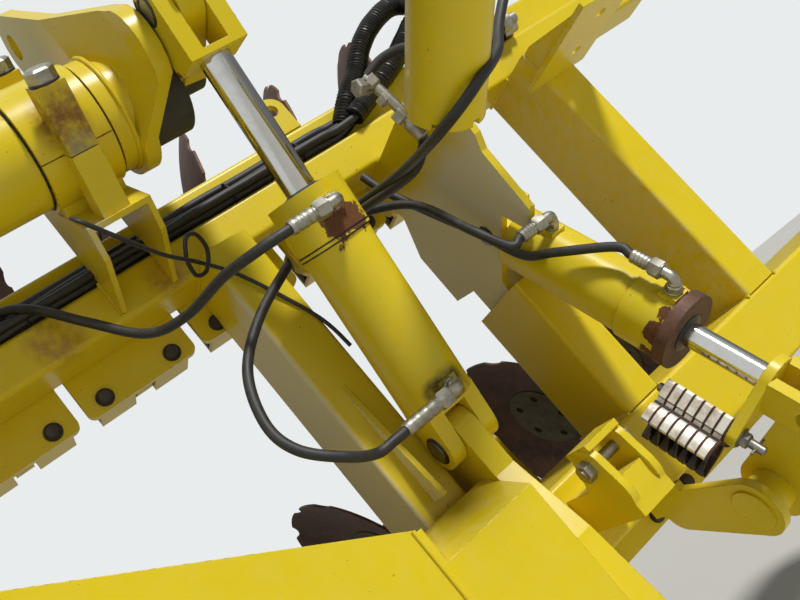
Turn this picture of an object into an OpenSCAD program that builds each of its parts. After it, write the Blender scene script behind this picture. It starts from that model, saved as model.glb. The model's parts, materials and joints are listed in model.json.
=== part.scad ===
// Folding wing section of a compact disc harrow, in its folded (upright) position.
// X runs along the torque tube, away from its mounting flange. +Z is up along the posts.
// -Y is the side of the tilt cylinder, +Y is the side of the discs.
// The origin is the centre of the torque tube's flange.

/* [Torque tube] */
// Outer diameter of the torque tube
tube_d = 219; // [205:1:235]
// Bore of the torque tube
tube_bore_d = 165; // [140:1:172]
// Diameter of the turned journals that run in the clamps
journal_d = 190; // [180:1:198]
// Outer diameter of the end flange
flange_d = 360; // [350:1:400]
// Thickness of the end flange
flange_t = 25; // [16:1:40]
// Bolt circle of the end flange
flange_pcd = 300; // [290:1:310]
// Number of bolts in the end flange
flange_holes = 8; // [6:1:10]
// Diameter of the flange's bolt holes
flange_hole_d = 26; // [18:1:28]

/* [Pivot clamps] */
// Width of each clamp along the tube
clamp_w = 145; // [120:1:155]
// Wall of the clamp around the journal
clamp_wall = 27; // [22:1:32]
// Start of the clamp near the flange
clamp_outer_x = 190; // [160:1:240]
// Start of the clamp near the tilt arm
clamp_inner_x = 770; // [740:1:775]
// Lean of the clamps, towards the step between the upper beams
clamp_lean = 45; // [40:1:50]
// Side of the square bolt bosses
boss_side = 56; // [52:1:60]
// Distance of the saddle's seat from the split between saddle and cap
seat_drop = 127; // [125:1:134]
// Running clearance of journals and pins, on the radius
run_gap = 0.05; // [0.02:0.01:0.08]

/* [Tilt arm] */
// Thickness of the arm plate
arm_t = 50; // [40:1:56]
// Reach of the arm from the tube's axis to the cylinder's pin
arm_reach = 240; // [230:1:250]
// Radius of the arm's nose round the pin
nose_r = 58; // [52:1:60]
// Diameter of the hub collar beside the clamp
hub_d = 230; // [224:1:240]

/* [Tilt cylinder] */
// Plane of the tilt cylinder, measured from the flange
tilt_x = 1115; // [1105:1:1130]
// Depth of its base pin behind the tube's axis
tilt_base_y = 50; // [40:1:60]
// Drop of its base pin under the tube's axis
tilt_base_drop = 925; // [915:1:940]
// Outer diameter of the tilt cylinder's barrel
tilt_barrel_d = 146; // [136:1:150]
// Bore of both cylinders' barrels
barrel_bore_d = 120; // [110:1:124]
// Outer diameter of the tilt cylinder's gland
tilt_gland_d = 156; // [152:1:162]
// Diameter of the tilt cylinder's rod
tilt_rod_d = 63.5; // [57:0.5:70]
// Length from base pin to gland face
tilt_body_l = 553; // [545:1:556]
// Diameter of the tilt cylinder's pins
tilt_pin_d = 50; // [38:1:56]
// Thickness of each clevis ear
ear_t = 34; // [28:1:36]

/* [Lift cylinder] */
// Plane of the lift cylinder, measured from the flange
lift_x = 1520; // [1510:1:1530]
// Depth of its base pin behind the tube's axis
lift_base_y = 68; // [60:1:76]
// Drop of its base pin under the tube's axis
lift_base_drop = 640; // [630:1:650]
// Depth of the rocker pin in front of the tube's axis
lift_eye_y = 287; // [280:1:295]
// Drop of the rocker pin under the tube's axis
lift_eye_drop = 1295; // [1285:1:1305]
// Outer diameter of the lift cylinder's barrel
lift_barrel_d = 140; // [132:1:146]
// Outer diameter of its gland ring
lift_ring_d = 160; // [152:1:164]
// Diameter of the lift cylinder's rod
lift_rod_d = 50.8; // [45:0.2:56]
// Length from base pin to gland face
lift_body_l = 481; // [470:1:486]
// Diameter of the lift cylinder's pins
lift_pin_d = 38; // [32:1:42]

/* [Wing frame] */
// Length of the cross beams
beam_l = 2560; // [2500:10:2700]
// Wall of the square tubes
tube_wall = 8; // [6:0.5:12]
// Front face of the upper front beam behind the tube's axis
beam_y = 200; // [195:1:210]
// Depth of the upper front beam
beam_w = 130; // [120:1:135]
// Height of the upper beams
beam_h = 100; // [90:1:105]
// Drop of the upper front beam's top under the tube's axis
beam_drop = 215; // [210:1:230]
// Step of the upper rear beam behind the front beam's face
beam_step = 40; // [30:1:50]
// Front face of the posts behind the tube's axis
post_y = 100; // [90:1:110]
// Width of a post along the beams
post_w = 110; // [90:1:120]
// Height of the lower beam
low_h = 170; // [150:1:180]
// Drop of the lower beam's top under the tube's axis
low_drop = 1130; // [1120:1:1140]

/* [Disc gang] */
// Spacing of the discs in a row
disc_pitch = 290; // [280:1:300]
// Number of discs in each row
discs_in_row = 6; // [5:1:6]
// Outer diameter of a disc
disc_d = 508; // [480:1:520]
// Radius of the disc's dish
dish_r = 620; // [580:1:700]
// Thickness of a disc
disc_t = 6; // [5:0.5:8]
// Number of notches round a disc
notches = 12; // [10:1:14]
// Angle of the gang to the direction of travel
gang_angle = 16; // [12:1:18]
// Undercut angle of a disc
undercut = 8; // [4:1:10]
// Depth of the disc's centre behind the tube's axis
disc_y = 620; // [615:1:640]
// Plane of the first upper disc
upper_x0 = 276; // [266:1:286]
// Plane of the first lower disc
lower_x0 = 421; // [411:1:431]

/* [Hidden] */
$fn = 64;

DISC_NODES = [for (row = ["upper", "lower"]) for (i = [1 : 6]) str("disc_", row, "_", i)];

paint = "gold";
steel = "silver";
dark = "dimgray";
black = "#202020";
rust = "saddlebrown";

// Places that follow from the driving sizes
clamp_od = journal_d + 2 * clamp_wall;
boss_y = clamp_od / 2 + 10;
cap_ear_h = 126;
split_gap = 2;
face_gap = 0.3;
arm_x = tilt_x - arm_t / 2;
ear_gap = 2;
tilt_base = [tilt_base_y, -tilt_base_drop];
tilt_eye = [-arm_reach, 0];
lift_base = [lift_base_y, -lift_base_drop];
lift_eye = [-lift_eye_y, -lift_eye_drop];
tilt_len = norm(tilt_eye - tilt_base);
lift_len = norm(lift_eye - lift_base);
beam_top = -beam_drop;
beam_bottom = beam_top - beam_h;
beam_back = beam_y + beam_w;
rear_y = beam_y + beam_step;
middle_top = -low_drop + 370;
low_top = -low_drop;
low_bottom = low_top - low_h;
corner_r = 12;
side_in = 0.3;
plate_drop = 100;
mount_w = 268;
mount_t = 20;
hub_rise = 385;
spindle_d = 40;
mount_offset = 108;
bracket_half = 27;
stop_bar = [-92, -70];
port_h = 8;
lift_way = (lift_eye - lift_base) / lift_len;
lift_out = [lift_way[1], -lift_way[0]];
flange_post_x = 60;
box_x = 870;
// Columns of a port: height on the barrel, diameter of the barrel there, reach of its sleeve
tilt_ports = [[tilt_body_l - 46, tilt_gland_d, 106], [104, tilt_barrel_d, 131]];
lift_ports = [[lift_body_l - 46, lift_barrel_d + 10, 90], [142, lift_barrel_d, 90]];

// Turns a flat outline, drawn in Y and Z, into a plate from x0 to x0 + t
module yz(x0, t) {
    translate([x0, 0, 0]) rotate([90, 0, 90]) linear_extrude(t) children();
}

// Turns a flat outline, drawn in X and Z, into a plate from y0 to y0 + t
module xz(y0, t) {
    translate([0, y0 + t, 0]) rotate([90, 0, 0]) linear_extrude(t) children();
}

// A rod along X between two planes
module rod_x(x0, x1, p, d, sides = 64) {
    translate([x0, p[0], p[1]]) rotate([0, 90, 0]) cylinder(h = x1 - x0, d = d, $fn = sides);
}

// Stands its children on point a in the plane of X, with their Z axis towards b
module towards(x, a, b) {
    translate([x, a[0], a[1]]) rotate([atan2(a[0] - b[0], b[1] - a[1]), 0, 0]) children();
}

// A round bar between two points
module rod_between(a, b, d) {
    v = b - a;
    translate(a) rotate([0, acos(v[2] / norm(v)), atan2(v[1], v[0])]) cylinder(h = norm(v), d = d);
}

// Outline of a rounded rectangle from its low corner
module rounded(w, h, r) {
    translate([r, 0]) square([w - 2 * r, h]);
    translate([0, r]) square([w, h - 2 * r]);
    for (x = [r, w - r]) for (y = [r, h - r]) translate([x, y]) circle(r);
}

// Outline of a bar with round ends of two radii, its straight sides a hair inside the tangents
module link(a, ra, b, rb) {
    way = atan2(b[1] - a[1], b[0] - a[0]);
    lean = acos((ra - rb) / norm(b - a));
    translate(a) circle(ra);
    translate(b) circle(rb);
    polygon([for (e = [[a, ra, lean], [b, rb, lean], [b, rb, -lean], [a, ra, -lean]])
        e[0] + (e[1] - side_in) * [cos(way + e[2]), sin(way + e[2])]]);
}

// Rectangular tube along X, open at both ends
module beam(x0, x1, y0, w, z0, h) {
    yz(x0, x1 - x0) difference() {
        translate([y0, z0]) rounded(w, h, corner_r);
        translate([y0 + tube_wall, z0 + tube_wall])
            rounded(w - 2 * tube_wall, h - 2 * tube_wall, corner_r - tube_wall / 2);
    }
}

// Rectangular tube along Z between two levels
module post(x0, w, y0, depth, z0, z1) {
    translate([x0, y0, z0]) linear_extrude(z1 - z0) difference() {
        rounded(w, depth, corner_r);
        translate([tube_wall, tube_wall])
            rounded(w - 2 * tube_wall, depth - 2 * tube_wall, corner_r - tube_wall / 2);
    }
}

module torque_tube() {
    journals = [for (x = [clamp_outer_x, clamp_inner_x]) [x - 4, clamp_w + 8]];
    hub_start = clamp_inner_x + clamp_w + 4;
    color(paint) difference() {
        union() {
            rod_x(0, flange_t, [0, 0], flange_d);
            rod_x(flange_t - 1, hub_start, [0, 0], tube_d);
            rod_x(hub_start - 1, arm_x - face_gap, [0, 0], journal_d);
        }
        rod_x(-1, arm_x - 20, [0, 0], tube_bore_d);
        for (j = journals) rotate([0, 90, 0]) translate([0, 0, j[0]]) difference() {
            cylinder(h = j[1], d = tube_d + 4);
            translate([0, 0, -1]) cylinder(h = j[1] + 2, d = journal_d);
        }
        for (i = [0 : flange_holes - 1]) rotate([i * 360 / flange_holes + 180 / flange_holes, 0, 0])
            translate([-1, 0, flange_pcd / 2]) rotate([0, 90, 0]) cylinder(h = flange_t + 2, d = flange_hole_d);
    }
}

// Broad plate beside the clamp that bends out to the cylinder's plane, and the nose plate inside the fork
module tilt_arm() {
    ring_x = clamp_inner_x + clamp_w + 6;
    cheek_x = ring_x + 34;
    cheek_t = 34;
    bend_x = 60;
    cheek_r = hub_d / 2 + 19;
    cheek_end = [-133, 0];
    end_r = 92;
    stay = [200, 372];
    stay_r = 75;
    color(paint) difference() {
        union() {
            rod_x(ring_x, cheek_x + 1, [0, 0], hub_d);
            rod_x(cheek_x + 1, arm_x + 1, [0, 0], journal_d + 16);
            intersection() {
                yz(cheek_x, cheek_t + bend_x) {
                    link([0, 0], cheek_r, cheek_end, end_r);
                    link([0, 0], cheek_r, stay, stay_r);
                    link(cheek_end, end_r - 1, stay, stay_r - 1);
                    polygon([[0, 0], cheek_end, stay]);
                }
                translate([cheek_x, 0, -300]) linear_extrude(900) polygon([
                    [0, 500], [0, -42], [bend_x, -160], [bend_x, -300],
                    [bend_x + cheek_t, -300], [bend_x + cheek_t, -168], [cheek_t, -50], [cheek_t, 500]]);
            }
            yz(arm_x, arm_t) link([-60, 0], 70, tilt_eye, nose_r);
        }
        rod_x(ring_x - 1, arm_x, [0, 0], journal_d + 2 * run_gap);
        rod_x(arm_x - 1, arm_x + arm_t + 1, tilt_eye, tilt_pin_d + 2 * run_gap);
        rod_x(cheek_x - 1, cheek_x + cheek_t + 1, stay, 60);
    }
}

// The stretch of the rod-end pin inside the arm
module tilt_pin_core() {
    color(steel) rod_x(arm_x - ear_gap / 2 + face_gap, arm_x + arm_t + ear_gap / 2 - face_gap, tilt_eye, tilt_pin_d);
}

// Turns a clamp's own frame, whose split lies level, to the clamps' lean
module leaned(x) {
    translate([x, 0, 0]) rotate([clamp_lean, 0, 0]) children();
}

function lean_point(y, z) = [y * cos(clamp_lean) - z * sin(clamp_lean), y * sin(clamp_lean) + z * cos(clamp_lean)];

module clamp_saddles() {
    middle = clamp_w / 2;
    color(paint) for (x = [clamp_outer_x, clamp_inner_x]) {
        difference() {
            leaned(x) {
                yz(0, clamp_w) intersection() {
                    circle(d = clamp_od);
                    translate([-clamp_od, -clamp_od - split_gap / 2]) square([2 * clamp_od, clamp_od]);
                }
                for (s = [-1, 1]) translate([middle - boss_side / 2, s * boss_y - boss_side / 2, -seat_drop])
                    cube([boss_side, boss_side, seat_drop - split_gap / 2]);
                translate([8, -62, -seat_drop]) cube([clamp_w - 16, 124, 40]);
            }
            rod_x(x - 1, x + clamp_w + 1, [0, 0], journal_d + 2 * run_gap);
        }
        saddle_channel(x + middle);
    }
}

// Folded channel that carries a clamp's bosses and runs back to the upper front beam
module saddle_channel(xc) {
    w = 135;
    h = 72;
    t = 12;
    front = -boss_y - boss_side / 2 - 6;
    behind = beam_y - 3;
    a = lean_point(front, -seat_drop - 1);
    b = lean_point(-front - 10, -seat_drop - 1);
    c = lean_point(front, -seat_drop - h);
    leaned(xc) translate([-w / 2, front, -seat_drop - t]) cube([w, -2 * front - 10, t]);
    for (x = [xc - w / 2, xc + w / 2 - t]) yz(x, t) polygon([
        a, b, [behind, b[1] - 10], [behind, beam_top - 1], [beam_y, beam_top - 2], [beam_y, beam_bottom + 15], c]);
}

module clamp_caps() {
    middle = clamp_w / 2;
    color(paint) for (x = [clamp_outer_x, clamp_inner_x]) difference() {
        leaned(x) {
            yz(0, clamp_w) intersection() {
                circle(d = clamp_od);
                translate([-clamp_od, split_gap / 2]) square([2 * clamp_od, clamp_od]);
            }
            for (s = [-1, 1]) translate([middle - boss_side / 2, s * boss_y - boss_side / 2, split_gap / 2])
                cube([boss_side, boss_side, cap_ear_h]);
        }
        rod_x(x - 1, x + clamp_w + 1, [0, 0], journal_d + 2 * run_gap);
    }
}

module clamp_bolts() {
    color(steel) for (x = [clamp_outer_x, clamp_inner_x]) for (s = [-1, 1])
        leaned(x) translate([clamp_w / 2, s * boss_y, split_gap / 2 + cap_ear_h]) {
            cylinder(h = 5, d = 54);
            translate([0, 0, 4]) cylinder(h = 22, d = 50, $fn = 6);
        }
}

module beam_front() {
    color(paint) beam(0, beam_l, beam_y, beam_w, beam_bottom, beam_h);
}

module beam_rear() {
    lug = [1365, beam_top + beam_h + 67];
    color(paint) {
        beam(0, beam_l, rear_y, beam_w - beam_step + 10, beam_top, beam_h);
        xz(rear_y, 20) difference() {
            union() {
                translate(lug) circle(36);
                translate([lug[0] - 36, beam_top + beam_h - 2]) square([72, lug[1] - beam_top - beam_h + 2]);
            }
            translate(lug) circle(16);
        }
    }
}

module beam_lower() {
    color(paint) beam(0, beam_l, post_y, beam_back - post_y, low_bottom, low_h);
}

module post_flange_side() {
    color(paint) post(flange_post_x, post_w, -post_y, beam_back + post_y, low_top, beam_bottom);
}

module post_inner() {
    x0 = 955;
    fin_x = x0 + 45;
    color(paint) {
        post(x0, post_w, post_y, beam_back - post_y, low_top, beam_bottom);
        yz(fin_x, 12) polygon([[post_y + 1, low_top + 430], [post_y + 1, low_top + 135], [post_y - 60, low_top + 135]]);
    }
}

module post_middle() {
    color(paint) {
        post(lift_x - post_w / 2, post_w, post_y, beam_back - post_y, low_top, middle_top);
        translate([lift_x - post_w / 2, post_y, middle_top - 12]) linear_extrude(12)
            rounded(post_w, beam_back - post_y, corner_r);
    }
}

module post_outer() {
    x0 = 1938;
    plate = [x0 - 70, x0 + 140];
    color(paint) {
        post(x0, post_w, post_y, beam_back - post_y, low_top, beam_bottom);
        difference() {
            translate([plate[0], -post_y - 110, beam_bottom - 97])
                cube([plate[1] - plate[0], 2 * post_y + 110, 14]);
            for (y = [-125, 10]) translate([x0 + 52, y, beam_bottom - 110]) cylinder(h = 40, d = 28);
        }
        yz(x0 + 8, 12) polygon([[-post_y - 90, beam_bottom - 84], [post_y + 1, beam_bottom - 84],
            [post_y + 1, beam_bottom - 2], [post_y - 30, beam_bottom - 2]]);
    }
}

// Web that carries the tilt cylinder's base pin, and the box beside it
module boot() {
    web_x = tilt_x - arm_t / 2;
    foot = low_bottom - 100;
    color(paint) {
        difference() {
            yz(web_x, arm_t) {
                translate(tilt_base) circle(48);
                polygon([[tilt_base[0] - 48, tilt_base[1] + 4], [tilt_base[0] + 46, tilt_base[1] + 12],
                    [198, low_top + 290], [240, low_top], [post_y, low_top], [post_y, low_bottom],
                    [post_y - 50, foot], [-110, foot], [-103, low_top - 225],
                    [-69, low_top - 69], [-28, low_top + 30], [0, low_top + 100]]);
            }
            rod_x(web_x - 1, web_x + arm_t + 1, tilt_base, tilt_pin_d + 2 * run_gap);
        }
        yz(box_x, web_x - box_x) difference() {
            polygon([[-100, foot], [post_y, foot + 60], [post_y, low_top + 20], [60, low_top + 110], [-100, low_top + 60]]);
            polygon([[-88, foot + 16], [post_y + 1, foot + 74], [post_y + 1, low_top + 6], [56, low_top + 96], [-88, low_top + 50]]);
        }
        yz(box_x, 14) polygon([[-100, foot], [post_y, foot + 60], [post_y, low_top + 20], [60, low_top + 110],
            [-100, low_top + 130]]);
    }
}

// Square tube that falls from the post at the flange to the boot's box
module brace() {
    left = flange_post_x + post_w;
    span = box_x - left;
    high = low_top + 570;
    fall = -31.8;
    h = 150;
    color(paint) difference() {
        xz(-post_y, h) intersection() {
            translate([left, high]) rotate(fall) translate([-span / 3, -h]) square([2 * span, h]);
            translate([left, low_bottom]) square([span, high - low_bottom + h]);
        }
        xz(-post_y + tube_wall, h - 2 * tube_wall) translate([left, high]) rotate(fall)
            translate([-span / 3, tube_wall - h]) square([2 * span, h - 2 * tube_wall]);
    }
}

third_end = [1347, -300, -474];
third_d = 146;
third_l = 420;
// Place of the third cylinder, which only its bracket joins to the frame
module on_third() {
    way = [0.085, -0.9, 0.43];
    translate(third_end) rotate([0, acos(way[2] / norm(way)), atan2(way[1], way[0])]) children();
}

// Plates that hold the lift cylinder's base pin between them
module lift_bracket() {
    t = 18;
    side = [-lift_way[1], lift_way[0]];
    edge = lift_base + 45 * lift_way;
    far = edge + 110 * side;
    near = edge - 84 * side;
    color(paint) difference() {
        union() {
            yz(lift_x - bracket_half - t, t) polygon([
                [beam_back, beam_bottom], [beam_back - 38, beam_bottom - 127], [beam_back + 31, beam_bottom - 221],
                [beam_back + 33, beam_bottom - 365], [beam_back - 60, beam_bottom - 381],
                [beam_back - 60, middle_top], [far[0] + 6, middle_top], far, near, near + 75 * lift_way,
                near + 75 * lift_way - 56 * side,
                [-124, beam_bottom - 212], [-146, beam_bottom - 180], [-150, beam_bottom - 143], [-60, beam_bottom]]);
            yz(lift_x + bracket_half, t) polygon([
                [beam_back + 31, beam_bottom - 245], [beam_back + 33, beam_bottom - 365],
                [beam_back - 60, beam_bottom - 381], [beam_back - 60, middle_top], [far[0] + 6, middle_top],
                far, near, near + [20, 55], [60, beam_bottom - 245]]);
            rod_between(third_end + [8, -81, 39], [lift_x - bracket_half - t / 2, -60, beam_bottom - 65], 50);
        }
        rod_x(lift_x - 70, lift_x + 70, lift_base, lift_pin_d + 2 * run_gap);
        on_third() translate([0, 0, -20]) cylinder(h = third_l, d = third_d + 1);
    }
}

// Third cylinder, held on a bar from the lift bracket, with spanner slots in its end
module wing_cylinder() {
    eye_d = 100;
    eye_z = third_l + 150;
    color(paint) on_third() {
        difference() {
            union() {
                cylinder(h = third_l, d = third_d);
                translate([0, 0, third_l - 1]) cylinder(h = 61, d = third_d + 10);
                rotate([0, 0, 250]) port(70, third_d / 2);
            }
            for (k = [0 : 5]) rotate([0, 0, k * 60]) translate([third_d / 2 - 10, -8, -1]) cube([20, 16, 14]);
            translate([0, 0, -1]) cylinder(h = 9, d = third_d - 44);
        }
        translate([0, 0, third_l + 59]) cylinder(h = 60, d = 60);
        difference() {
            union() {
                translate([-25, -30, eye_z - eye_d / 2 - 2]) cube([50, 60, 30]);
                rod_x(-25, 25, [0, eye_z], eye_d);
            }
            rod_x(-26, 26, [0, eye_z], 45);
        }
    }
}

rocker_axis = [-60, -1400];
rocker_from = -90;
rocker_to = 330;
rocker_t = 20;
// Plates under the lower beam that carry the rocker's shaft
module rocker_bracket() {
    t = rocker_t;
    color(paint) difference() {
        for (x = [lift_x + rocker_from, lift_x + rocker_to]) yz(x, t) {
            link(rocker_axis, 62, [post_y + 60, low_bottom - 56], 50);
            translate([post_y, low_bottom - 60]) square([150, 60]);
        }
        rod_x(lift_x + rocker_from - 5, lift_x + rocker_to + t + 5, rocker_axis, 90 + 2 * run_gap);
    }
}

module rocker() {
    t = 40;
    out = rocker_axis + [-60, -230];
    color(paint) difference() {
        union() {
            rod_x(lift_x + rocker_from - 5, lift_x + rocker_to + rocker_t + 10, rocker_axis, 90);
            yz(lift_x - t / 2, t) link(rocker_axis, 70, lift_eye, 42);
            yz(lift_x + 250, t) link(rocker_axis, 70, out, 45);
        }
        rod_x(lift_x - t, lift_x + t, lift_eye, lift_pin_d + 2 * run_gap);
        rod_x(lift_x + 245, lift_x + 300, out, 40);
    }
}

// Bracket of a lock link, with its big bolt
module link_bracket() {
    x0 = 1215;
    color(paint) {
        translate([x0, -110, low_top - 120]) cube([90, post_y + 110, 80]);
        yz(x0, 16) link([-60, low_top - 60], 60, [-66, low_top], 42);
        yz(x0 + 74, 16) link([-60, low_top - 60], 60, [-66, low_top], 42);
        translate([x0 + 1, -106, low_top + 28]) cube([88, 80, 14]);
    }
    color(steel) {
        rod_x(x0 - 22, x0 + 112, [-66, low_top], 24);
        rod_x(x0 - 18, x0, [-66, low_top], 42, 6);
        rod_x(x0 + 90, x0 + 108, [-66, low_top], 42, 6);
    }
}

// Columns of a row: name, plane of its first mount, way from arm to disc, underside of its beam
rows = [
    ["upper", upper_x0 - mount_offset, 1, beam_bottom],
    ["lower", lower_x0 + mount_offset, -1, low_bottom]
];
function bar_z(row) = row[3] - plate_drop + 50;
house = 90;
house_wall = 8;
bar = 44;
bar_y = beam_back + mount_t + house / 2;

module each_mount(row) {
    for (i = [0 : discs_in_row - 1]) translate([row[1] + i * disc_pitch, 0, 0]) children();
}

// Plates on the beam's back, each with two square housings for the arm's rubber mount
module mounts(row) {
    bottom = row[3] - plate_drop;
    wall = house_wall;
    color(paint) each_mount(row) {
        xz(beam_back, mount_t) difference() {
            translate([-mount_w / 2, bottom]) rounded(mount_w, 200, 18);
            for (x = [-84, 84]) translate([x, bottom + 27]) circle(d = 30);
        }
        for (x = [-112, 26]) yz(x, 86) difference() {
            translate([bar_y - house / 2, bar_z(row) - house / 2]) square(house);
            translate([bar_y - house / 2 + wall, bar_z(row) - house / 2 + wall]) square(house - 2 * wall);
        }
    }
}

// Rubber cords in the corners of each housing
module cords(row) {
    room = house / 2 - house_wall;
    r = (sqrt(2) * room - bar / 2) / (1 + sqrt(2)) - face_gap;
    off = room - face_gap - r;
    color(black) each_mount(row) for (x = [-112, 26]) for (y = [-off, off]) for (z = [-off, off])
        rod_x(x, x + 86, [bar_y + y, bar_z(row) + z], 2 * r, 24);
}

// Points of a quadratic curve
function bow(a, b, c, n) = [for (i = [0 : n]) let (t = i / n) a * (1 - t) * (1 - t) + 2 * b * t * (1 - t) + c * t * t];

// Arm with its square bar, bent up to the disc's hub, and the spindle
module arms(row) {
    hub = [disc_y, bar_z(row) - 50 + hub_rise];
    seat = [bar_y, bar_z(row)];
    bend = [bar_y + 190, bar_z(row) + 20];
    mid = bow(seat, bend, hub, 8);
    function side(i, s) = let (d = mid[min(i + 1, 8)] - mid[max(i - 1, 0)], w = 42 - 12 * i / 8)
        mid[i] + s * w * [d[1], -d[0]] / norm(d);
    color(paint) each_mount(row) {
        yz(-20, 40) {
            translate(seat) circle(42);
            translate(hub) circle(34);
            polygon(concat([for (i = [0 : 8]) side(i, 1)], [for (i = [8 : -1 : 0]) side(i, -1)]));
        }
        translate([-112, bar_y, bar_z(row)]) rotate([45, 0, 0]) translate([0, -bar / 2, -bar / 2]) cube([224, bar, bar]);
        hub_frame(row) translate([0, 0, -8]) cylinder(h = 74, d = spindle_d);
    }
}

// Frame of a disc: its origin at the arm, its Z axis along the spindle towards the disc
module hub_frame(row) {
    translate([0, disc_y, bar_z(row) - 50 + hub_rise])
        rotate(row[2] * [0, 90 + gang_angle, -undercut]) translate([0, 0, 20]) children();
}

// Notched and dished disc with its bolted hub
module disc_unit(row, i) {
    r = disc_d / 2;
    z_hub = 22;
    z_disc = mount_offset - 20;
    color(rust) translate([row[1] + (i - 1) * disc_pitch, 0, 0]) hub_frame(row) difference() {
        union() {
            intersection() {
                difference() {
                    translate([0, 0, z_disc + dish_r]) sphere(dish_r, $fn = 128);
                    translate([0, 0, z_disc + dish_r]) sphere(dish_r - disc_t, $fn = 128);
                }
                translate([0, 0, z_disc - 1]) cylinder(h = 90, r = r);
            }
            translate([0, 0, z_disc + 1]) cylinder(h = 16, d = 200);
            translate([0, 0, z_hub]) cylinder(h = z_disc - z_hub + 2, d = 110);
            translate([0, 0, z_disc - 16]) cylinder(h = 18, d = 170);
        }
        translate([0, 0, z_hub - 1]) cylinder(h = 50, d = spindle_d + 2 * run_gap);
        for (k = [0 : notches - 1]) rotate([0, 0, k * 360 / notches])
            translate([r + 28, 0, z_disc - 2]) cylinder(h = 100, r = 40);
        for (k = [0 : 4]) rotate([0, 0, k * 72 + 36]) translate([70, 0, z_disc + 8]) cylinder(h = 12, d = 22);
    }
}

module tilt_barrel() {
    cap_z = 76;
    gland_z = tilt_body_l - 113;
    half = arm_t / 2 + ear_gap;
    color(paint) towards(tilt_x, tilt_base, tilt_eye) difference() {
        union() {
            translate([0, 0, cap_z]) cylinder(h = gland_z - cap_z + 1, d = tilt_barrel_d);
            translate([0, 0, gland_z]) cylinder(h = tilt_body_l - gland_z, d = tilt_gland_d);
            for (s = [half, -half - ear_t]) yz(s, ear_t) {
                circle(45);
                translate([-45, 0]) square([90, cap_z + 10]);
            }
            translate([-half - 1, -45, 62]) cube([2 * half + 2, 90, 24]);
            for (p = tilt_ports) port(p[0], p[1] / 2);
        }
        translate([0, 0, 100]) cylinder(h = tilt_body_l - 130, d = barrel_bore_d);
        translate([0, 0, 100]) cylinder(h = tilt_body_l, d = tilt_rod_d + 2 * run_gap);
        for (z = [gland_z, gland_z + 9]) translate([0, 0, z]) rotate_extrude() translate([tilt_gland_d / 2 - 2, 0])
            square([6, 3]);
    }
    color(steel) towards(tilt_x, tilt_base, tilt_eye)
        rod_x(-half - ear_t - 6, half + ear_t + 6, [0, 0], tilt_pin_d);
}

module tilt_rod() {
    half = arm_t / 2 + ear_gap;
    throat = 111;
    bridge = 14;
    fork_z = tilt_len - throat - bridge;
    color(steel) towards(tilt_x, tilt_base, tilt_eye) translate([0, 0, tilt_body_l - 90])
        cylinder(h = fork_z - tilt_body_l + 95, d = tilt_rod_d);
    color(paint) towards(tilt_x, tilt_base, tilt_eye) difference() {
        union() {
            translate([-half - ear_t, -45, fork_z]) cube([2 * half + 2 * ear_t, 90, bridge]);
            for (s = [half, -half - ear_t]) yz(s, ear_t) {
                translate([0, tilt_len]) circle(45);
                translate([-45, fork_z]) square([90, tilt_len - fork_z]);
            }
        }
        for (s = [half, -half - ear_t]) rod_x(s - 1, s + ear_t + 1, [0, tilt_len], tilt_pin_d + 2 * run_gap);
    }
    color(steel) towards(tilt_x, tilt_base, tilt_eye)
        for (x = [[half - ear_gap / 2, half + ear_t + 6], [-half - ear_t - 1, -half + ear_gap / 2]])
            rod_x(x[0], x[1], [0, tilt_len], tilt_pin_d);
}

// Flat-topped port boss on the front of a barrel of radius r, at height z
module port(z, r) {
    translate([-20, -r - port_h, z - 20]) cube([40, 24, 40]);
}

// Elbow whose nut and crimped sleeve point along -X, seated on the port at height z
module elbow(z, r, reach) {
    seat = -r - port_h;
    translate([0, seat, z]) rotate([90, 0, 0]) cylinder(h = 20, d = 30, $fn = 6);
    translate([0, seat - 19, z]) rotate([90, 0, 0]) cylinder(h = 26, d = 24);
    rod_x(-30, 6, [seat - 33, z], 22);
    rod_x(-58, -30, [seat - 33, z], 34, 6);
    rod_x(-reach, -58, [seat - 33, z], 28);
}

// Elbow whose nut and crimped sleeve point back along the barrel
module elbow_back(z, r, reach) {
    seat = -r - port_h;
    translate([0, seat, z]) rotate([90, 0, 0]) cylinder(h = 20, d = 30, $fn = 6);
    translate([0, seat - 19, z]) rotate([90, 0, 0]) cylinder(h = 26, d = 24);
    translate([0, seat - 33, z - 30]) cylinder(h = 36, d = 22);
    translate([0, seat - 33, z - 58]) cylinder(h = 28, d = 34, $fn = 6);
    translate([0, seat - 33, z - reach]) cylinder(h = reach - 58, d = 28);
}

module tilt_fittings() {
    color(steel) towards(tilt_x, tilt_base, tilt_eye) {
        for (p = tilt_ports) elbow(p[0], p[1] / 2, p[2]);
    }
}

module lift_barrel() {
    cap_z = 60;
    gland_z = lift_body_l - 120;
    eye_w = 2 * bracket_half - 2;
    color(paint) towards(lift_x, lift_base, lift_eye) difference() {
        union() {
            translate([0, 0, cap_z]) cylinder(h = gland_z - cap_z + 1, d = lift_barrel_d);
            translate([0, 0, gland_z]) cylinder(h = 96, d = lift_barrel_d + 10);
            translate([0, 0, gland_z + 94]) cylinder(h = 26, d = lift_ring_d);
            yz(-eye_w / 2, eye_w) {
                circle(38);
                translate([-38, 0]) square([76, cap_z + 2]);
            }
            for (p = lift_ports) mirror([0, 1, 0]) port(p[0], p[1] / 2);
        }
        translate([0, 0, 86]) cylinder(h = lift_body_l - 116, d = barrel_bore_d);
        translate([0, 0, 86]) cylinder(h = lift_body_l, d = lift_rod_d + 2 * run_gap);
    }
    color(steel) towards(lift_x, lift_base, lift_eye) rod_x(-bracket_half - 24, bracket_half + 24, [0, 0], lift_pin_d);
}

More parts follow.
